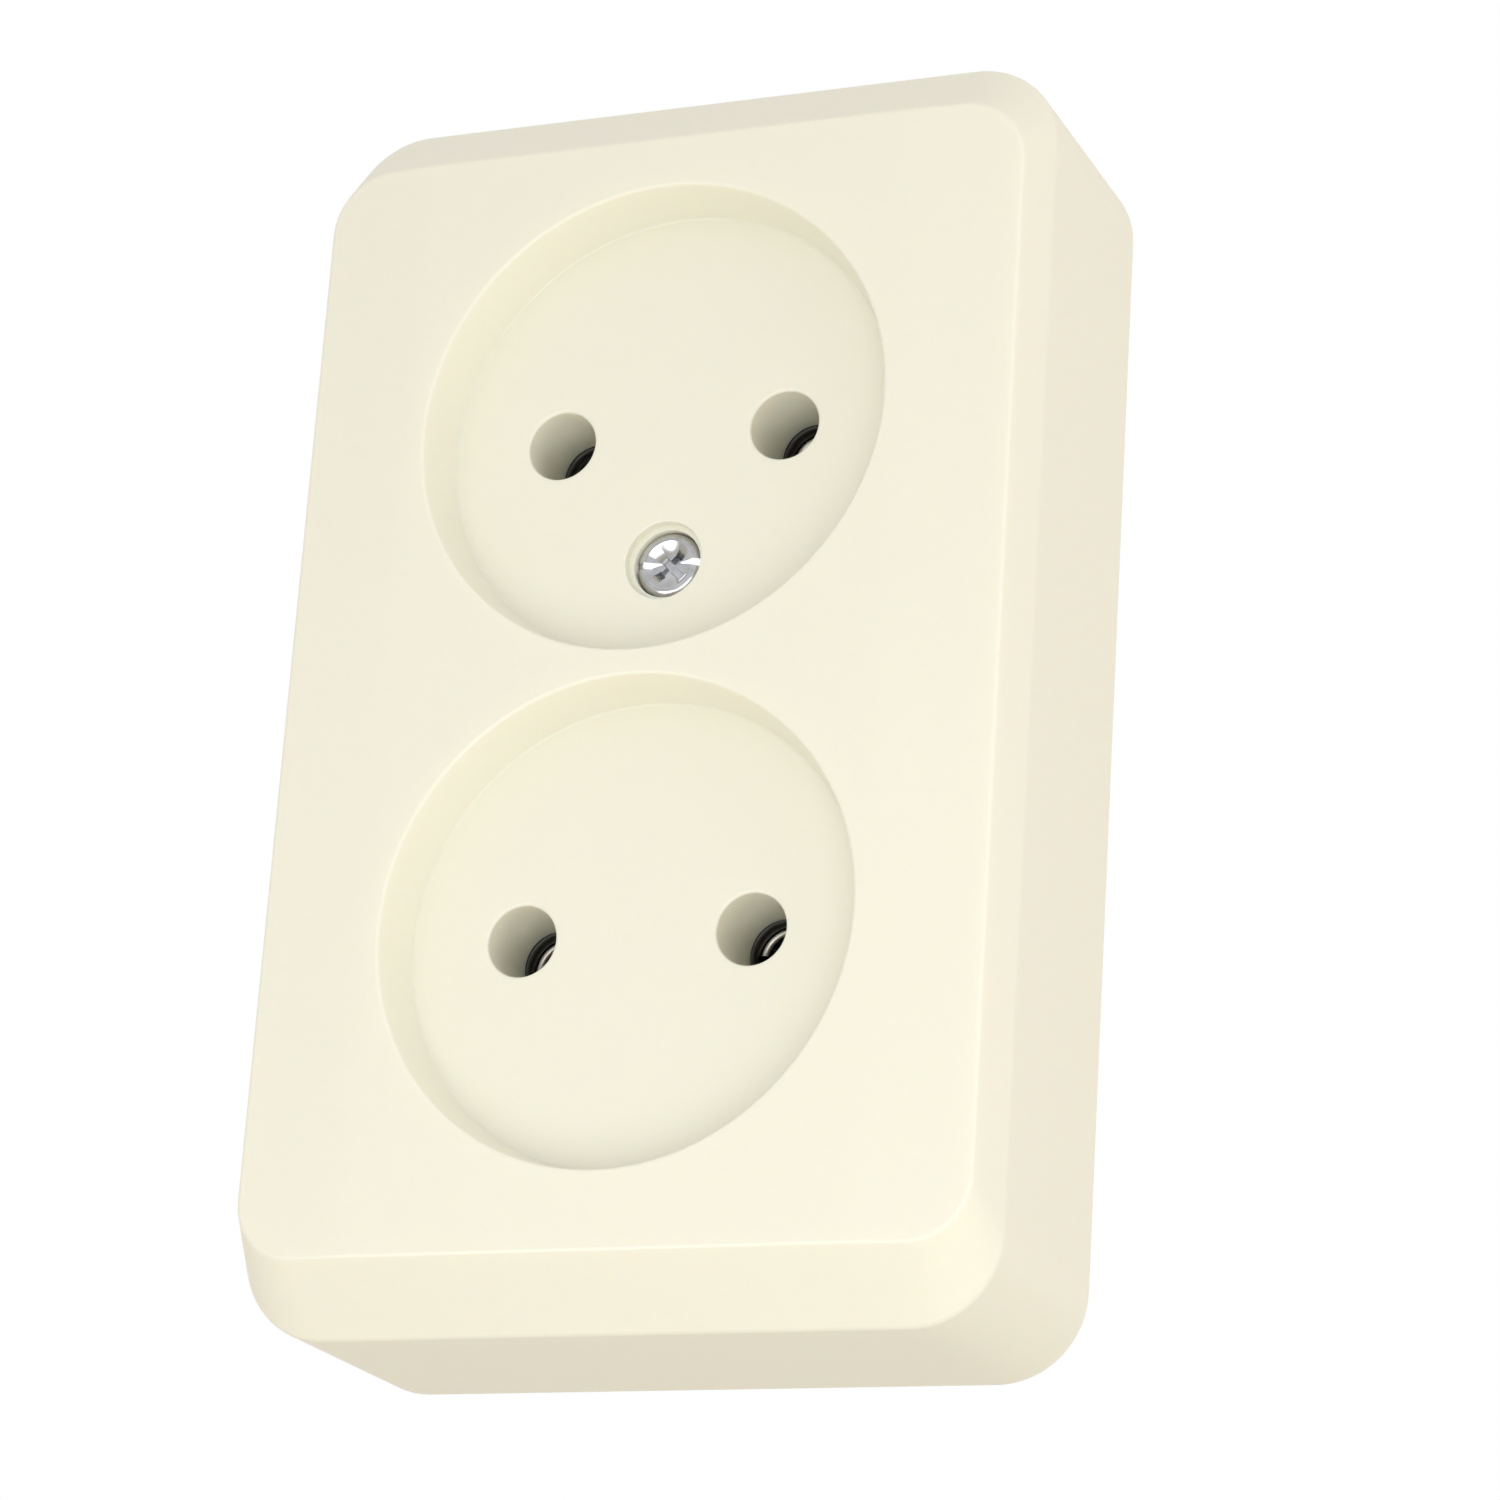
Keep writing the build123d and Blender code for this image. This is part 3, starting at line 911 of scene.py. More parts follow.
# ---------------------------------------------------------------- front cover
@dataclass
class FrontCover:
    """Ivory cover: one moulding with two round recesses, pin guides and a screw boss."""

    layout: SocketLayout
    box: Extent = field(default_factory=lambda: Extent.of("front_cover"))
    corner_radius: float = 7.0
    bevel_side: float = 1.1
    bevel_end: float = 5.3
    bevel_depth: float = 5.0
    face_corner_radius: float = 5.0
    face_inset: float = 2.0
    inset_corner_radius: float = 3.5
    face_round: float = 0.5
    shoulder_round: float = 0.8
    flat_half_width: float = 19.9
    crease_width: float = 1.6
    crease_steps: int = 4
    margin_drop: float = 0.6
    wall: float = 2.0
    front_wall: float = 2.1
    rib: float = 1.4
    rib_corner: float = 0.1
    recess_radius: float = 19.45
    recess_depth: float = 4.6
    recess_round: float = 0.3
    recess_foot_round: float = 0.3
    recess_draft: float = 0.75
    recess_wall: float = 1.5
    cup_round: float = 0.4
    floor_thickness: float = 2.0
    pin_radius: float = 2.85
    pin_round: float = 0.25
    guide_wall: float = 1.4
    guide_length: float = 7.0
    guide_round: float = 0.3
    counterbore_radius: float = 3.2
    counterbore_depth: float = 0.85
    counterbore_round: float = 0.12
    head_hole_radius: float = 2.8
    head_hole_depth: float = 2.8
    head_hole_round: float = 0.08
    shank_hole_radius: float = 1.75
    washer_pocket_radius: float = 3.15
    head_seat_thickness: float = 1.2
    boss_wall: float = 1.5
    boss_length: float = 10.75

    @property
    def face(self) -> float:
        """Depth of the front face."""
        return self.box.low.y

    @property
    def floor(self) -> float:
        """Depth of the recess floors."""
        return self.face + self.recess_depth

    @property
    def floor_back(self) -> float:
        """Depth of the back of the recess floors."""
        return self.floor + self.floor_thickness

    def margin_depth(self, x: float) -> float:
        """How far the face lies back at a distance from the middle.

        Args:
            x: place across the cover.

        Returns:
            Drop behind the flat centre of the face.
        """
        face_half = self.box.size.x / 2 - self.bevel_side
        slope = self.margin_drop / (face_half - self.flat_half_width)
        beyond = abs(x) - self.flat_half_width
        if beyond <= 0:
            return 0.0
        if beyond < self.crease_width:
            return slope * beyond * beyond / (2 * self.crease_width)
        return slope * (beyond - self.crease_width / 2)

    def outline(self, width: float, height: float, radius: float) -> list[Point]:
        """Outline of the cover with extra points where the margins begin.

        Args:
            width: overall width.
            height: overall height.
            radius: corner radius.

        Returns:
            Points in order, the same number whatever the size.
        """
        corners = Slab(width, height, radius, steps=16).ring(0.0)
        per_corner = len(corners) // 4
        shares = [i / self.crease_steps for i in range(self.crease_steps + 1)]
        steps = [self.flat_half_width + self.crease_width * share for share in shares]
        top = [(x, height / 2) for x in reversed(steps)] + [(-x, height / 2) for x in steps]
        foot = [(x, -z) for x, z in reversed(top)]
        first, second = corners[:per_corner], corners[per_corner:2 * per_corner]
        third, fourth = corners[2 * per_corner:3 * per_corner], corners[3 * per_corner:]
        return first + top + second + third + foot + fourth

    def outside(self) -> bpy.types.Object:
        """Outside of the cover as one closed block.

        Returns:
            Block with rounded edges, its back open face closed flat.
        """
        width, height = self.box.size.x, self.box.size.z
        foot = self.outline(width, height, self.corner_radius)
        rim = self.outline(
            width - 2 * self.bevel_side, height - 2 * self.bevel_end, self.face_corner_radius
        )
        inner = self.outline(
            width - 2 * (self.bevel_side + self.face_inset),
            height - 2 * (self.bevel_end + self.face_inset),
            self.inset_corner_radius,
        )
        shoulder = self.face + self.bevel_depth
        rear = self.box.high.y
        columns = []
        for (fx, fz), (rx, rz), (ix, iz) in zip(foot, rim, inner):
            line = [
                Vector((fx, rear, fz)), Vector((fx, shoulder, fz)),
                Vector((rx, self.face + self.margin_depth(rx), rz)),
                Vector((ix, self.face + self.margin_depth(ix), iz)),
            ]
            columns.append(rounded_line(line, (self.shoulder_round, self.face_round)))
        rings = [[column[i] for column in columns] for i in range(len(columns[0]))]
        return self.close_face(rings)

    def close_face(self, rings: list[list[Vector]]) -> bpy.types.Object:
        """Close the block with a face of strips that follow the sloped margins.

        Args:
            rings: rings of corners from the back edge to the inner edge of the face.

        Returns:
            The closed block.
        """
        count = len(rings[0])
        points = [point for ring in rings for point in ring]
        faces = [tuple(range(count - 1, -1, -1))]
        for level in range(len(rings) - 1):
            low, high = level * count, (level + 1) * count
            for i in range(count):
                j = (i + 1) % count
                faces.append((low + i, low + j, high + j, high + i))
        last = (len(rings) - 1) * count
        for i in range(count // 2 - 1):
            faces.append((last + i, last + i + 1, last + count - 2 - i, last + count - 1 - i))
        return object_from("cover_block", points, faces)

    def cavity(self) -> bpy.types.Object:
        """Hollow inside the cover, one wall smaller all round.

        Returns:
            The cutter.
        """
        width = self.box.size.x - 2 * self.wall
        height = self.box.size.z - 2 * self.wall
        radius = self.corner_radius - self.wall
        turn = self.face + self.bevel_depth + self.wall / 2
        top = self.face + self.front_wall
        foot = Slab(width, height, radius, steps=12).ring(0.0)
        end = Slab(width - 2 * self.bevel_side, height - 2 * self.bevel_end, radius / 2, steps=12).ring(0.0)
        levels = ((foot, self.box.high.y + PAST), (foot, turn), (end, top))
        return through_rings("cavity", [[(x, y, z) for x, z in ring] for ring, y in levels])

    def inside(self) -> list[bpy.types.Object]:
        """Cups, ribs, pin guides and boss that stand inside the shell.

        Returns:
            The solids, not yet united.
        """
        in_wall = self.face + self.front_wall / 2
        solids = []
        for level in Level:
            z = self.layout.height(level)
            cup = Disc(self.recess_radius + self.recess_wall, 0, z, steps=160)
            solids.append(prism(cup, body_section(self.floor_back, in_wall, back_round=self.cup_round)))
            rib = Slab(self.box.size.x - self.wall, self.rib, self.rib_corner, 0, z)
            solids.append(prism(rib, body_section(self.floor_back, in_wall)))
            for hand in Hand:
                guide = Disc(self.pin_radius + self.guide_wall, hand.sign * self.layout.pin_offset, z)
                solids.append(prism(guide, self.post_section(self.guide_length)))
        boss = Disc(self.washer_pocket_radius + self.boss_wall, 0, self.layout.screw_height)
        solids.append(prism(boss, self.post_section(self.boss_length)))
        return solids

    def post_section(self, length: float) -> Section:
        """Section of a round post that stands on the back of a recess floor.

        Args:
            length: from the front of the floor to the post's end.

        Returns:
            Pairs of inset and depth from back to front.
        """
        return body_section(self.floor + length, self.floor_back - LAP, back_round=self.guide_round)

    def recess_foot(self) -> Section:
        """Rounded corner between a recess floor and its tapered wall.

        Returns:
            Pairs of inset and depth, from the flat floor to the wall.
        """
        foot = self.recess_draft
        return quarter(
            (foot + self.recess_foot_round, self.floor),
            (foot, self.floor),
            (foot, self.floor - self.recess_foot_round),
        )

    def openings(self) -> list[bpy.types.Object]:
        """Cutters for the recesses, pin holes and screw hole.

        Returns:
            The cutters.
        """
        cutters = []
        for level in Level:
            z = self.layout.height(level)
            mouth = hole_section(self.floor, self.face, self.recess_round)[1:]
            cutters.append(prism(Disc(self.recess_radius, 0, z, steps=192), self.recess_foot() + mouth))
        for level in Level:
            z = self.layout.height(level)
            for hand in Hand:
                pin = Disc(self.pin_radius, hand.sign * self.layout.pin_offset, z, steps=96)
                far = self.floor + self.guide_length + PAST
                cutters.append(prism(pin, hole_section(far, self.floor, self.pin_round)))
        z = self.layout.screw_height
        ledge = self.floor + self.counterbore_depth
        seat = self.floor + self.head_hole_depth
        beyond = self.floor + self.boss_length + PAST
        for radius, section in (
            (self.counterbore_radius, hole_section(ledge, self.floor, self.counterbore_round)),
            (self.head_hole_radius, hole_section(seat, ledge, self.head_hole_round)),
            (self.shank_hole_radius, [(0.0, beyond), (0.0, seat - PAST)]),
            (self.washer_pocket_radius, [(0.0, beyond), (0.0, seat + self.head_seat_thickness)]),
        ):
            cutters.append(prism(Disc(radius, 0, z), section))
        return cutters

    def build(self) -> None:
        """Make the cover."""
        shell = self.outside()
        cut(shell, self.cavity())
        add(shell, *self.inside())
        cut(shell, *self.openings())
        place(shell, "cover_shell", "cover", Slot.IVORY, "front_cover")


def rounded_line(line: Sequence[Vector], radii: Sequence[float]) -> list[Vector]:
    """Polyline with its inner corners rounded.

    Args:
        line: corners from first to last.
        radii: radius at each corner but the first and last.

    Returns:
        Points from first to last, the same number whatever the corners.
    """
    points = [line[0]]
    for before, corner, after, radius in zip(line, line[1:], line[2:], radii):
        back, ahead = (before - corner).normalized(), (after - corner).normalized()
        half = back.angle(ahead) / 2
        reach = radius / math.tan(half)
        start, end = corner + back * reach, corner + ahead * reach
        centre = corner + (back + ahead).normalized() * (radius / math.sin(half))
        first, last = start - centre, end - centre
        turn = first.angle(last)
        for i in range(ARC_STEPS + 1):
            share = i / ARC_STEPS
            near, far = math.sin((1 - share) * turn), math.sin(share * turn)
            points.append(centre + (first * near + last * far) / math.sin(turn))
    points.append(line[-1])
    return points


# ---------------------------------------------------------------- screws
@dataclass
class DriveScrew:
    """Screw with a domed head, a slot and cross drive in a dished top, and a rolled thread."""

    head_radius: float
    shank_radius: float
    top: float
    seat: float
    tip: float
    x: float
    z: float
    pitch: float = 0.5
    thread_length: float = 3.0
    dome: float = 0.6
    head_edge: float = 0.12
    dish_share: float = 0.74
    dish_slope_share: float = 0.35
    dish_depth_share: float = 0.32
    dish_lip: float = 0.1
    slot_share: float = 0.24
    slot_length_share: float = 2.4
    slot_depth_share: float = 0.42
    slot_corner: float = 0.04
    cross_share: float = 0.62
    cross_width_share: float = 0.34
    cross_slope_share: float = 0.3
    cross_depth_share: float = 0.72
    cross_lip: float = 0.05
    core_share: float = 0.28
    head_lap: float = 0.3
    thread_lap: float = 0.2

    def drive(self) -> list[bpy.types.Object]:
        """Cutters for the dish, the slot and the cross.

        Returns:
            The cutters.
        """
        above, height, radius = self.top - PAST, self.seat - self.top, self.head_radius
        dish = Disc(self.dish_share * radius, self.x, self.z, 64)
        slope = [
            (self.dish_slope_share * radius, self.top + self.dish_depth_share * height),
            (0.0, self.top + self.dish_lip), (0.0, above),
        ]
        slot = Slab(
            self.slot_length_share * radius, self.slot_share * radius, self.slot_corner, self.x, self.z, 2
        )
        straight = [(0.0, self.top + self.slot_depth_share * height), (0.0, above)]
        cross = Cross(self.cross_share * radius, self.cross_width_share * radius, 45, self.x, self.z)
        taper = [
            (self.cross_slope_share * radius, self.top + self.cross_depth_share * height),
            (0.0, self.top + self.cross_lip), (0.0, above),
        ]
        return [prism(dish, slope), prism(slot, straight), prism(cross, taper)]

    def solid(self) -> bpy.types.Object:
        """Head, plain shank and thread as one solid.

        Returns:
            The linked object.
        """
        head = turned(
            self.head_radius, self.seat, self.top, self.x, self.z, self.dome, self.head_edge, 96
        )
        cut(head, *self.drive())
        thread_end = self.tip - self.thread_length
        core = self.shank_radius - self.core_share * self.pitch
        shank = turned(core, thread_end + LAP, self.seat - self.head_lap, self.x, self.z, steps=40)
        rod = threaded_rod(
            self.shank_radius, self.pitch, self.tip, thread_end - self.thread_lap, self.x, self.z
        )
        return add(head, shank, rod)


# ---------------------------------------------------------------- cover screw and what holds it
@dataclass
class CoverFastening:
    """Captive cover screw, its washer, and the knurled bush in the base."""

    screw: Extent = field(default_factory=lambda: Extent.of("cover_screw"))
    washer: Extent = field(default_factory=lambda: Extent.of("screw_retaining_washer"))
    bush: Extent = field(default_factory=lambda: Extent.of("cover_screw_insert"))
    head_growth: float = 0.06
    head_height: float = 1.8
    shank_radius: float = 1.5
    thread_length: float = 7.4
    washer_round: float = 0.12
    bore_gap: float = 0.06
    bore_round: float = 0.3
    bush_chamfer: float = 0.25
    knurl_depth: float = 0.22
    knurl_teeth: int = 28
    groove_places: tuple[float, float] = (1.8, 3.9)
    groove_width: float = 0.7
    groove_depth: float = 0.4

    def build(self) -> None:
        """Make the three pieces."""
        x, z = self.screw.middle.x, self.screw.middle.z
        screw = DriveScrew(
            self.screw.size.x / 2 + self.head_growth, self.shank_radius, self.screw.low.y,
            self.screw.low.y + self.head_height, self.screw.high.y, x, z,
            thread_length=self.thread_length,
        )
        place(screw.solid(), "captive_cover_screw", "cover_screw", Slot.STEEL, "cover_screw")
        washer = turned(
            self.washer.size.x / 2, self.washer.high.y, self.washer.low.y, x, z,
            self.washer_round, self.washer_round,
        )
        hole = Disc(self.shank_radius + self.bore_gap, x, z, 48)
        cut(washer, through(hole, self.washer.high.y, self.washer.low.y))
        place(washer, "fibre_washer", "screw_washer", Slot.FIBRE, "screw_retaining_washer")
        place(self.knurled_bush(x, z), "knurled_bush", "base", Slot.BRASS, "cover_screw_insert")

    def knurled_bush(self, x: float, z: float) -> bpy.types.Object:
        """Brass bush with a straight knurl, two grooves and a countersunk bore.

        Args:
            x: place of its axis across.
            z: height of its axis.

        Returns:
            The linked object.
        """
        front, back = self.bush.low.y, self.bush.high.y
        chamfer = self.bush_chamfer
        section: Section = [(chamfer, back), (0.0, back - chamfer)]
        for place_of in reversed(self.groove_places):
            near = front + place_of - self.groove_width / 2
            far = front + place_of + self.groove_width / 2
            section += [(0.0, far), (self.groove_depth, far), (self.groove_depth, near), (0.0, near)]
        section += [(0.0, front + chamfer), (chamfer, front)]
        knurl = Knurl(self.bush.size.x / 2, self.knurl_depth, self.knurl_teeth, x, z)
        bore = Disc(self.shank_radius + self.bore_gap, x, z, 48)
        bush = prism(knurl, section)
        mouth = hole_section(front + PAST, front, self.bore_round)
        return cut(bush, through(bore, back, front), prism(bore, mouth))


# ---------------------------------------------------------------- base
@dataclass
class MountingBase:
    """Base screwed to the wall: tray, fences, pads, cable entry and screw pillar."""

    layout: SocketLayout
    box: Extent = field(default_factory=lambda: Extent.of("mounting_base"))
    bush: Extent = field(default_factory=lambda: Extent.of("cover_screw_insert"))
    flange_radius: float = 6.2
    flange: float = 1.0
    flange_rounds: tuple[float, float] = (0.15, 0.25)
    floor: float = -1.5
    rim_front: float = -7.0
    rim_width: float = 56.9
    rim_height: float = 96.3
    rim_radius: float = 4.65
    rim_wall: float = 1.6
    rim_round: float = 0.4
    rim_inner_round: float = 0.3
    sunk: float = 0.3
    pillar_wall: float = 1.6
    pillar_round: float = 0.3
    pillar_ribs: int = 6
    pillar_rib_radius: float = 0.7
    pillar_rib_drop: float = 0.8
    carrier_half_height: float = 6.2
    fence_length: float = 22.9
    fence_wall: float = 1.2
    fence_height: float = 2.0
    fence_gap: float = 0.15
    fence_corner: float = 0.4
    boss_radius: float = 2.6
    boss_height: float = 3.0
    boss_bore: float = 1.3
    bore_round: float = 0.2
    pad_size: tuple[float, float] = (15.0, 18.0)
    pad_height: float = 1.5
    pad_corner: float = 2.0
    pad_round: float = 0.35
    slot_offset: float = 37.0
    slot_radius: float = 2.2
    slot_length: float = 9.0
    opening_round: float = 0.4
    mouth_depth: float = 0.8
    entry_size: tuple[float, float] = (16.0, 10.0)
    entry_drop: float = 6.5
    entry_radius: float = 2.0
    lip_wall: float = 1.2
    lip_height: float = 1.5
    lip_round: float = 0.45
    seat_size: tuple[float, float] = (4.8, 24.7)
    seat_height: float = 1.0
    seat_corner: float = 0.3
    seat_round: float = 0.1
    spigot_hole_radius: float = 2.0
    screw_hole_radius: float = 2.25
    bush_gap: float = 0.05
    shank_hole_radius: float = 1.75
    flush: float = 0.0001
    mark_radius: float = 1.6
    mark_depth: float = 0.15
    mark_offset: float = 22.0
    mark_heights: tuple[float, ...] = (-40.0, -12.0, 14.0, 40.0)

    def tray(self) -> bpy.types.Object:
        """Flange and rim round a flat floor.

        Returns:
            The linked object.
        """
        size = self.box.size
        flange = prism(
            Slab(size.x, size.z, self.flange_radius, steps=14),
            body_section(self.box.high.y, self.box.high.y - self.flange, *self.flange_rounds),
        )
        rim = prism(
            Slab(self.rim_width, self.rim_height, self.rim_radius, steps=14),
            body_section(self.box.high.y - self.flange / 2, self.rim_front, self.rim_round),
        )
        inner = Slab(
            self.rim_width - 2 * self.rim_wall, self.rim_height - 2 * self.rim_wall,
            self.rim_radius - self.rim_wall, steps=14,
        )
        floor, foot = self.floor, self.rim_round
        hollow = quarter((foot, floor), (0.0, floor), (0.0, floor - foot))
        hollow += hole_section(floor, self.rim_front, self.rim_inner_round)[1:]
        return cut(add(flange, rim), prism(inner, hollow))

    def stand(self, outline: Outline, height: float, edge: float = 0.25) -> bpy.types.Object:
        """Block that stands on the floor.

        Args:
            outline: outline seen from the front.
            height: how far it stands up.
            edge: radius of its front edge.

        Returns:
            The linked object.
        """
        return prism(outline, body_section(self.floor + self.sunk, self.floor - height, edge))

    def standing(self) -> list[bpy.types.Object]:
        """Everything that stands on the floor.

        Returns:
            The solids, not yet united.
        """
        solids = []
        offset = self.carrier_half_height + self.fence_gap + self.fence_wall / 2
        for level in Level:
            z = self.layout.height(level)
            solids.append(self.stand(Disc(self.boss_radius, 0, z, 64), self.boss_height))
            for step in (-1, 1):
                place_of = z + step * offset
                fence = Slab(self.fence_length, self.fence_wall, self.fence_corner, 0, place_of, 4)
                solids.append(self.stand(fence, self.fence_height))
        for step in (-1, 1):
            pad = Slab(*self.pad_size, self.pad_corner, 0, step * self.slot_offset)
            solids.append(self.stand(pad, self.pad_height, self.pad_round))
        width, height = self.entry_size
        lip = Slab(
            width + 2 * self.lip_wall, height + 2 * self.lip_wall, self.entry_radius + self.lip_wall,
            0, -self.entry_drop,
        )
        solids.append(self.stand(lip, self.lip_height, self.lip_round))
        for hand in Hand:
            strip = Extent.of(f"{hand.value}_contact_strip").middle
            seat = Slab(*self.seat_size, self.seat_corner, strip.x, strip.z, 4)
            solids.append(self.stand(seat, self.seat_height, self.seat_round))
        return solids + self.pillar()

    def pillar(self) -> list[bpy.types.Object]:
        """Pillar round the bush, with low ribs at its foot.

        Returns:
            The solids, not yet united.
        """
        z = self.layout.screw_height
        radius = self.bush.size.x / 2 + self.pillar_wall
        front = self.bush.low.y
        solids = [turned(radius, self.floor + self.sunk, front, 0, z, self.pillar_round)]
        for i in range(self.pillar_ribs):
            angle = 2 * math.pi * (i + 0.5) / self.pillar_ribs
            x, up = radius * math.cos(angle), radius * math.sin(angle)
            rib = Disc(self.pillar_rib_radius, x, z + up, 20)
            solids.append(self.stand(rib, self.floor - front - self.pillar_rib_drop, self.pillar_round))
        return solids

    def wall_openings(self) -> list[bpy.types.Object]:
        """Cutters for the cable entry and the two fixing slots, with rounded front edges.

        Returns:
            The cutters.
        """
        width, height = self.entry_size
        entry = Slab(width, height, self.entry_radius, 0, -self.entry_drop)
        places = [(entry, self.floor - self.lip_height, PAST)]
        for step in (-1, 1):
            slot = Slab(
                2 * self.slot_radius, self.slot_length, self.slot_radius, 0, step * self.slot_offset, 12
            )
            places.append((slot, self.floor - self.pad_height, self.mouth_depth))
        cutters = []
        for outline, front, depth in places:
            mouth = hole_section(front + depth, front, self.opening_round)
            cutters += [through(outline, self.box.high.y, front), prism(outline, mouth)]
        return cutters

    def holes(self) -> list[bpy.types.Object]:
        """Cutters for every hole in the base.

        Returns:
            The cutters.
        """
        far = self.rim_front
        cutters = self.wall_openings()
        for level in Level:
            hole = Disc(self.boss_bore, 0, self.layout.height(level), 48)
            boss_front = self.floor - self.boss_height
            section = hole_section(self.floor - self.sunk, boss_front, self.bore_round)
            cutters.append(prism(hole, section))
        for hand in Hand:
            block = Extent.of(f"{hand.value}_terminal_block").middle
            seat_front = self.floor - self.seat_height
            spigot = Disc(self.spigot_hole_radius, block.x, block.z, 48)
            cutters.append(through(spigot, self.floor, seat_front, self.flush))
            for level in Level:
                screw = Extent.of(f"{hand.value}_{level.value}_terminal_screw").middle
                hole = Disc(self.screw_hole_radius, screw.x, screw.z, 48)
                cutters.append(prism(hole, [(0.0, self.floor), (0.0, far)]))
        z = self.layout.screw_height
        seat = Disc(self.bush.size.x / 2 + self.bush_gap, 0, z, 64)
        cutters.append(prism(seat, hole_section(self.bush.high.y, self.bush.low.y, self.bore_round)))
        shank = Disc(self.shank_hole_radius, 0, z, 48)
        cutters.append(prism(shank, [(0.0, self.floor), (0.0, self.bush.high.y - PAST)]))
        return cutters + self.marks()

    def marks(self) -> list[bpy.types.Object]:
        """Cutters for the shallow round marks that ejector pins leave, front and back.

        Returns:
            The cutters.
        """
        cutters = []
        for hand in Hand:
            for z in self.mark_heights:
                dot = Disc(self.mark_radius, hand.sign * self.mark_offset, z, 32)
                front = [(0.0, self.floor + self.mark_depth), (0.0, self.floor - PAST)]
                cutters.append(prism(dot, front))
                cutters.append(prism(dot, [(0.0, PAST), (0.0, -self.mark_depth)]))
        return cutters

    def build(self) -> None:
        """Make the base."""
        base = self.tray()
        add(base, *self.standing())
        cut(base, *self.holes())
        place(base, "wall_base", "base", Slot.BASE, "mounting_base")


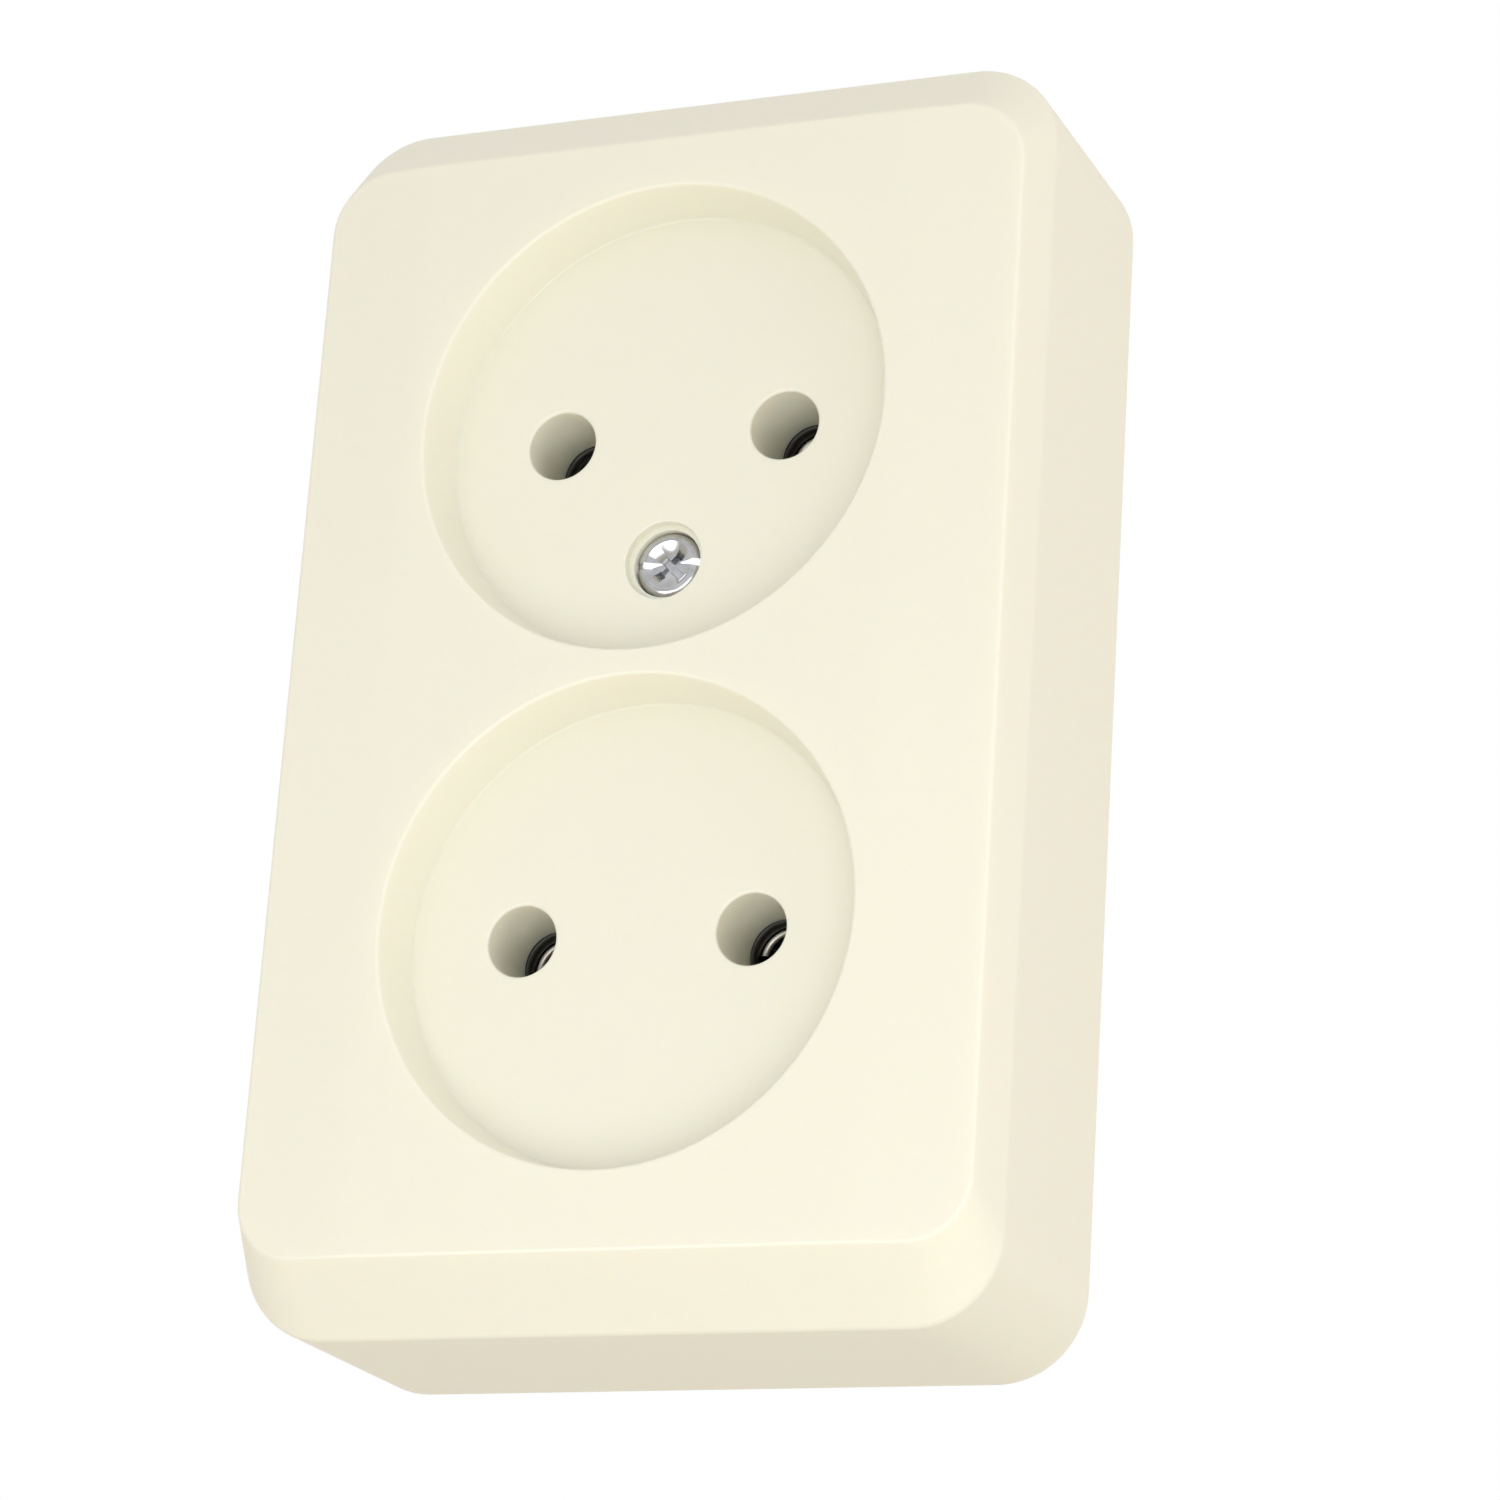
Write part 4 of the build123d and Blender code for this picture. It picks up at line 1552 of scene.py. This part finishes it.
# ---------------------------------------------------------------- contacts of one socket
@dataclass
class ContactSet:
    """Black carrier of one socket with its two sleeves, springs and screw."""

    layout: SocketLayout
    level: Level
    web_front: float = -7.0
    web_rounds: tuple[float, float] = (0.4, 0.15)
    tower_radius: float = 4.75
    tower_round: float = 0.5
    gusset_wall: float = 1.0
    gusset_offset: float = 2.6
    gusset_drop: float = 3.0
    gusset_margin: float = 0.8
    gusset_round: float = 0.3
    mouth_radius: float = 2.6
    mouth_wall: float = 1.0
    mouth_round: float = 0.35
    pocket_radius: float = 3.6
    corner_radius: float = 1.5
    lug_width: float = 5.5
    lug_reach: float = 10.7
    lug_back: float = -3.5
    lug_thickness: float = 0.8
    side_gap: float = 0.35
    lug_corner: float = 0.6
    way_length: float = 6.0
    way_corner: float = 0.1
    boss_radius: float = 2.85
    boss_front: float = -4.7
    screw_head_radius: float = 2.5
    screw_head_height: float = 1.8
    screw_radius: float = 1.25
    screw_gap: float = 0.25
    screw_pitch: float = 0.8
    sleeve_radius: float = 2.7
    sleeve_bore: float = 2.0
    sleeve_round: float = 0.2
    sleeve_slit: float = 0.9
    slit_corner: float = 0.02
    flare_depth: float = 1.5
    flare_round: float = 0.45
    sheet_round: float = 0.12
    rivet_hole_radius: float = 1.25
    leaf_slot: float = 0.7
    leaf_corner: float = 0.3
    leaf_share: float = 0.62
    spring_wall: float = 0.5
    spring_gap: float = 2.0
    spring_round: float = 0.15

    def __post_init__(self) -> None:
        """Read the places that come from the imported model."""
        self.box = Extent.of(f"{self.level.value}_contact_carrier")
        self.z = self.box.middle.z

    def carrier(self) -> None:
        """Block with two towers, gussets between them and the web, and a lead-in at each mouth."""
        size, back, front = self.box.size, self.box.high.y, self.box.low.y
        web = Slab(size.x, size.z, self.corner_radius, 0, self.z, 8)
        block = prism(web, body_section(back, self.web_front, *self.web_rounds))
        for hand in Hand:
            x = hand.sign * self.layout.pin_offset
            add(block, turned(self.tower_radius, back, front, x, self.z, self.tower_round, steps=96))
            for step in (-1, 1):
                gusset = Slab(
                    self.gusset_wall, size.z - self.gusset_margin, self.gusset_round,
                    x + step * self.gusset_offset, self.z, 4,
                )
                section = body_section(back, front + self.gusset_drop, self.gusset_round)
                add(block, prism(gusset, section))
        for hand in Hand:
            x = hand.sign * self.layout.pin_offset
            mouth = Disc(self.mouth_radius, x, self.z, 64)
            pocket = Disc(self.pocket_radius, x, self.z, 64)
            way = Slab(
                self.way_length, self.lug_width + 2 * self.side_gap, self.way_corner,
                x + hand.sign * self.way_length / 2, self.z, 2,
            )
            lug_front = self.lug_back - self.lug_thickness - self.side_gap
            cut(
                block, prism(mouth, hole_section(back - PAST, front, self.mouth_round)),
                prism(pocket, [(0.0, back + PAST), (0.0, front + self.mouth_wall)]),
                prism(way, [(0.0, back + PAST), (0.0, lug_front)]),
            )
        boss = Disc(self.boss_radius, 0, self.z, 48)
        cut(
            block, prism(boss, [(0.0, back + PAST), (0.0, self.boss_front)]),
            through(Disc(self.screw_radius + self.screw_gap, 0, self.z, 48), back, self.web_front),
        )
        name = f"{self.level.value}_carrier_moulding"
        place(block, name, "base", Slot.BLACK, f"{self.level.value}_contact_carrier")

    def sleeve(self, hand: Hand) -> None:
        """Rolled sleeve with a flared mouth, a slit, two leaves and a riveting lug.

        Args:
            hand: pole that it belongs to.
        """
        node = f"{self.level.value}_{hand.value}_contact_sleeve"
        box = Extent.of(node)
        x, front, back = hand.sign * self.layout.pin_offset, box.low.y, box.high.y
        tube = turned(self.sleeve_radius, back, front, x, self.z, self.sleeve_round, steps=72)
        lug = Slab(
            self.lug_reach, self.lug_width, self.lug_corner, x + hand.sign * self.lug_reach / 2, self.z, 6
        )
        lug_front = back - self.lug_thickness
        add(tube, prism(lug, body_section(back, lug_front, self.sheet_round, self.sheet_round)))
        bore = Disc(self.sleeve_bore, x, self.z, 64)
        rivet_x = Extent.of(f"{hand.value}_contact_strip").middle.x
        leaf_end = front + self.leaf_share * (back - front)
        radius = self.sleeve_radius
        slit = Slab(2 * radius, self.sleeve_slit, self.slit_corner, x - hand.sign * radius, self.z, 1)
        leaves = Slab(self.leaf_slot, 4 * radius, self.leaf_corner, x, self.z, 4)
        cut(
            tube, through(bore, back, front),
            prism(bore, hole_section(front + self.flare_depth, front, self.flare_round)),
            through(slit, back, front),
            prism(leaves, [(0.0, leaf_end), (0.0, front - PAST)]),
            through(Disc(self.rivet_hole_radius, rivet_x, self.z, 40), back, lug_front),
        )
        place(tube, f"{self.level.value}_{hand.value}_rolled_sleeve", "base", Slot.NICKEL, node)

    def spring(self, hand: Hand) -> None:
        """Open steel ring round the sleeve's leaves.

        Args:
            hand: pole that it belongs to.
        """
        node = f"{self.level.value}_{hand.value}_contact_spring"
        box = Extent.of(node)
        outer = box.size.z / 2
        ring = OpenRing(
            outer, outer - self.spring_wall, self.spring_gap, 180 if hand is Hand.RIGHT else 0,
            hand.sign * self.layout.pin_offset, self.z,
        )
        section = body_section(box.high.y, box.low.y, self.spring_round, self.spring_round)
        band = prism(ring, section)
        place(band, f"{self.level.value}_{hand.value}_spring_ring", "base", Slot.SPRING, node)

    def holding_screw(self) -> bpy.types.Object:
        """Screw that holds the carrier on the base.

        Returns:
            The linked object, not yet placed.
        """
        box = Extent.of("carrier_screws")
        seat = box.low.y + self.screw_head_height
        return DriveScrew(
            self.screw_head_radius, self.screw_radius, box.low.y, seat, box.high.y, 0, self.z,
            pitch=self.screw_pitch, thread_length=box.high.y - seat,
        ).solid()

    def build(self) -> None:
        """Make everything but the screw, which is one piece with the other socket's."""
        self.carrier()
        for hand in Hand:
            self.sleeve(hand)
            self.spring(hand)


# ---------------------------------------------------------------- one pole
@dataclass
class Pole:
    """Strip, terminal block, clamp plates and terminal screws of one pole."""

    layout: SocketLayout
    hand: Hand
    strip_holes: tuple[float, float, float] = (1.25, 2.0, 1.55)
    strip_corner: float = 1.0
    strip_rounds: tuple[float, float] = (0.12, 0.2)
    strip_hole_round: float = 0.12
    block_corner: float = 0.8
    block_rounds: tuple[float, float] = (0.25, 0.15)
    spigot_radius: float = 1.5
    spigot_round: float = 0.2
    screw_radius: float = 1.75
    screw_gap: float = 0.06
    screw_pitch: float = 0.6
    tapped_round: float = 0.3
    head_height: float = 2.2
    plate_length: float = 7.6
    plate_width: float = 8.0
    plate_thickness: float = 1.2
    plate_corner: float = 0.5
    plate_rounds: tuple[float, float] = (0.25, 0.1)
    tab_width: float = 5.0
    tab_thickness: float = 0.8
    tab_gap: float = 0.15
    tab_corner: float = 0.1
    tab_rounds: tuple[float, float] = (0.3, 0.15)
    bridge_shift: float = 0.35
    bridge_corner: float = 0.05
    bridge_lift: float = 0.2
    tooth_pitch: float = 1.0
    tooth_width: float = 0.4
    tooth_depth: float = 0.15
    tooth_corner: float = 0.05
    tooth_places: tuple[int, ...] = (-3, -2, 2, 3)
    block_tooth_length: float = 6.0
    plate_tooth_length: float = 6.4
    rivet_head: tuple[float, float] = (2.0, 0.8)
    rivet_head_rounds: tuple[float, float] = (0.55, 0.08)
    rivet_stem_radius: float = 1.2
    rivet_stem_insets: tuple[float, float] = (0.2, 0.4)
    rivet_tail: tuple[float, float] = (1.7, 0.6)
    rivet_tail_rounds: tuple[float, float] = (0.08, 0.3)

    def __post_init__(self) -> None:
        """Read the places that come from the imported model."""
        self.strip_box = Extent.of(f"{self.hand.value}_contact_strip")
        self.block_box = Extent.of(f"{self.hand.value}_terminal_block")
        self.x = self.strip_box.middle.x
        self.screw_boxes = {
            level: Extent.of(f"{self.hand.value}_{level.value}_terminal_screw") for level in Level
        }

    def strip(self) -> None:
        """Stamped brass strip with its rivet, screw and spigot holes."""
        box = self.strip_box
        outline = Slab(box.size.x, box.size.z, self.strip_corner, self.x, box.middle.z, 8)
        strip = prism(outline, body_section(box.high.y, box.low.y, *self.strip_rounds))
        rivet, screw, spigot = self.strip_holes
        holes = [(rivet, self.layout.height(level)) for level in Level]
        holes += [(screw, self.screw_boxes[level].middle.z) for level in Level]
        holes.append((spigot, self.block_box.middle.z))
        for radius, z in holes:
            hole = Disc(radius, self.x, z, 48)
            mouth = hole_section(box.high.y, box.low.y, self.strip_hole_round)
            cut(strip, through(hole, box.high.y, box.low.y), prism(hole, mouth))
        hand = self.hand.value
        place(strip, f"{hand}_stamped_strip", "base", Slot.BRASS, f"{hand}_contact_strip")

    def teeth(self, z: float, face: float, side: int, length: float) -> list[bpy.types.Object]:
        """Cutters for the fine grooves that grip a wire.

        Args:
            z: height of the middle of the grooves.
            face: depth of the face that they are cut in.
            side: 1 where the metal lies behind the face, -1 where it lies in front.
            length: length of each groove.

        Returns:
            The cutters.
        """
        cutters = []
        for i in self.tooth_places:
            groove = Slab(
                self.tooth_width, length, self.tooth_corner, self.x + i * self.tooth_pitch, z, 2
            )
            inside, outside = face + side * self.tooth_depth, face - side * LAP
            back, front = max(inside, outside), min(inside, outside)
            cutters.append(prism(groove, [(0.0, back), (0.0, front)]))
        return cutters

    def block(self) -> None:
        """Brass block with two threaded holes, wire grooves and a spigot."""
        box, front = self.block_box, self.block_box.low.y
        back = self.strip_box.low.y
        outline = Slab(box.size.x, box.size.z, self.block_corner, self.x, box.middle.z, 8)
        block = prism(outline, body_section(back, front, *self.block_rounds))
        add(block, turned(
            self.spigot_radius, box.high.y, back - LAP, self.x, box.middle.z, 0, self.spigot_round, 48
        ))
        for level in Level:
            z = self.screw_boxes[level].middle.z
            hole = Disc(self.screw_radius + self.screw_gap, self.x, z, 48)
            mouth = hole_section(front + PAST, front, self.tapped_round)
            cut(block, through(hole, back, front), prism(hole, mouth))
            cut(block, *self.teeth(z, front, 1, self.block_tooth_length))
        hand = self.hand.value
        place(block, f"{hand}_tapped_block", "base", Slot.BRASS, f"{hand}_terminal_block")

    def clamp(self, level: Level) -> None:
        """Clamp plate with a turned-down tab, and the screw through it.

        Args:
            level: which of the two screws of the terminal block.
        """
        node = f"{self.hand.value}_{level.value}_clamp_plate"
        box, screw = Extent.of(node), self.screw_boxes[level]
        z, face = screw.middle.z, self.block_box.low.y
        front = face - self.plate_thickness
        outline = Slab(self.plate_width, self.plate_length, self.plate_corner, self.x, z, 5)
        plate = prism(outline, body_section(face, front, *self.plate_rounds))
        reach = self.plate_width / 2 + self.tab_gap + self.tab_thickness / 2
        bridge = Slab(
            2 * self.tab_gap + self.tab_thickness + LAP, self.tab_width, self.bridge_corner,
            self.x + self.hand.sign * (reach - self.bridge_shift), z, 2,
        )
        tab_x = self.x + self.hand.sign * reach
        tab = Slab(self.tab_thickness, self.tab_width, self.tab_corner, tab_x, z, 3)
        add(
            plate, prism(bridge, body_section(face - self.bridge_lift, front)),
            prism(tab, body_section(box.high.y, front, *self.tab_rounds)),
        )
        hole = Disc(self.screw_radius + self.screw_gap, self.x, z, 48)
        cut(plate, through(hole, face, front), *self.teeth(z, face, -1, self.plate_tooth_length))
        body = f"{self.hand.value}_{level.value}_clamp"
        place(plate, f"{self.hand.value}_{level.value}_wire_clamp", body, Slot.STEEL, node)
        seat = screw.low.y + self.head_height
        solid = DriveScrew(
            screw.size.x / 2, self.screw_radius, screw.low.y, seat, screw.high.y, self.x, z,
            pitch=self.screw_pitch, thread_length=screw.high.y - seat,
        ).solid()
        node = f"{self.hand.value}_{level.value}_terminal_screw"
        place(solid, f"{self.hand.value}_{level.value}_clamping_screw", node, Slot.STEEL, node)

    def rivets(self) -> list[bpy.types.Object]:
        """Two rivets that fasten the sleeves' lugs to the strip.

        Returns:
            The rivets, one for each level.
        """
        box = Extent.of("contact_rivets")
        front, back = box.low.y, box.high.y
        head_radius, head_height = self.rivet_head
        tail_radius, tail_height = self.rivet_tail
        stem_back, stem_front = self.rivet_stem_insets
        solids = []
        for level in Level:
            z = self.layout.height(level)
            head = turned(
                head_radius, front + head_height, front, self.x, z, *self.rivet_head_rounds, 48
            )
            stem = turned(
                self.rivet_stem_radius, back - stem_back, front + stem_front, self.x, z, steps=40
            )
            tail = turned(
                tail_radius, back, back - tail_height, self.x, z, *self.rivet_tail_rounds, 48
            )
            solids.append(add(head, stem, tail))
        return solids

    def build(self) -> None:
        """Make everything but the rivets, which are one piece with the other pole's."""
        self.strip()
        self.block()
        for level in Level:
            self.clamp(level)


def main() -> None:
    """Build the object and the studio around it."""
    logging.basicConfig(level=logging.INFO, format="%(name)s: %(message)s")
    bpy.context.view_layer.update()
    Studio().build()
    layout = SocketLayout()
    FrontCover(layout).build()
    CoverFastening().build()
    MountingBase(layout).build()
    sockets = [ContactSet(layout, level) for level in Level]
    poles = [Pole(layout, hand) for hand in Hand]
    for assembly in sockets + poles:
        assembly.build()
    holding = [socket.holding_screw() for socket in sockets]
    place(add(*holding), "carrier_holding_screws", "base", Slot.STEEL, "carrier_screws")
    rivets = [rivet for pole in poles for rivet in pole.rivets()]
    place(add(*rivets), "lug_rivets", "base", Slot.BRASS, "contact_rivets")


if __name__ == "__main__":
    main()
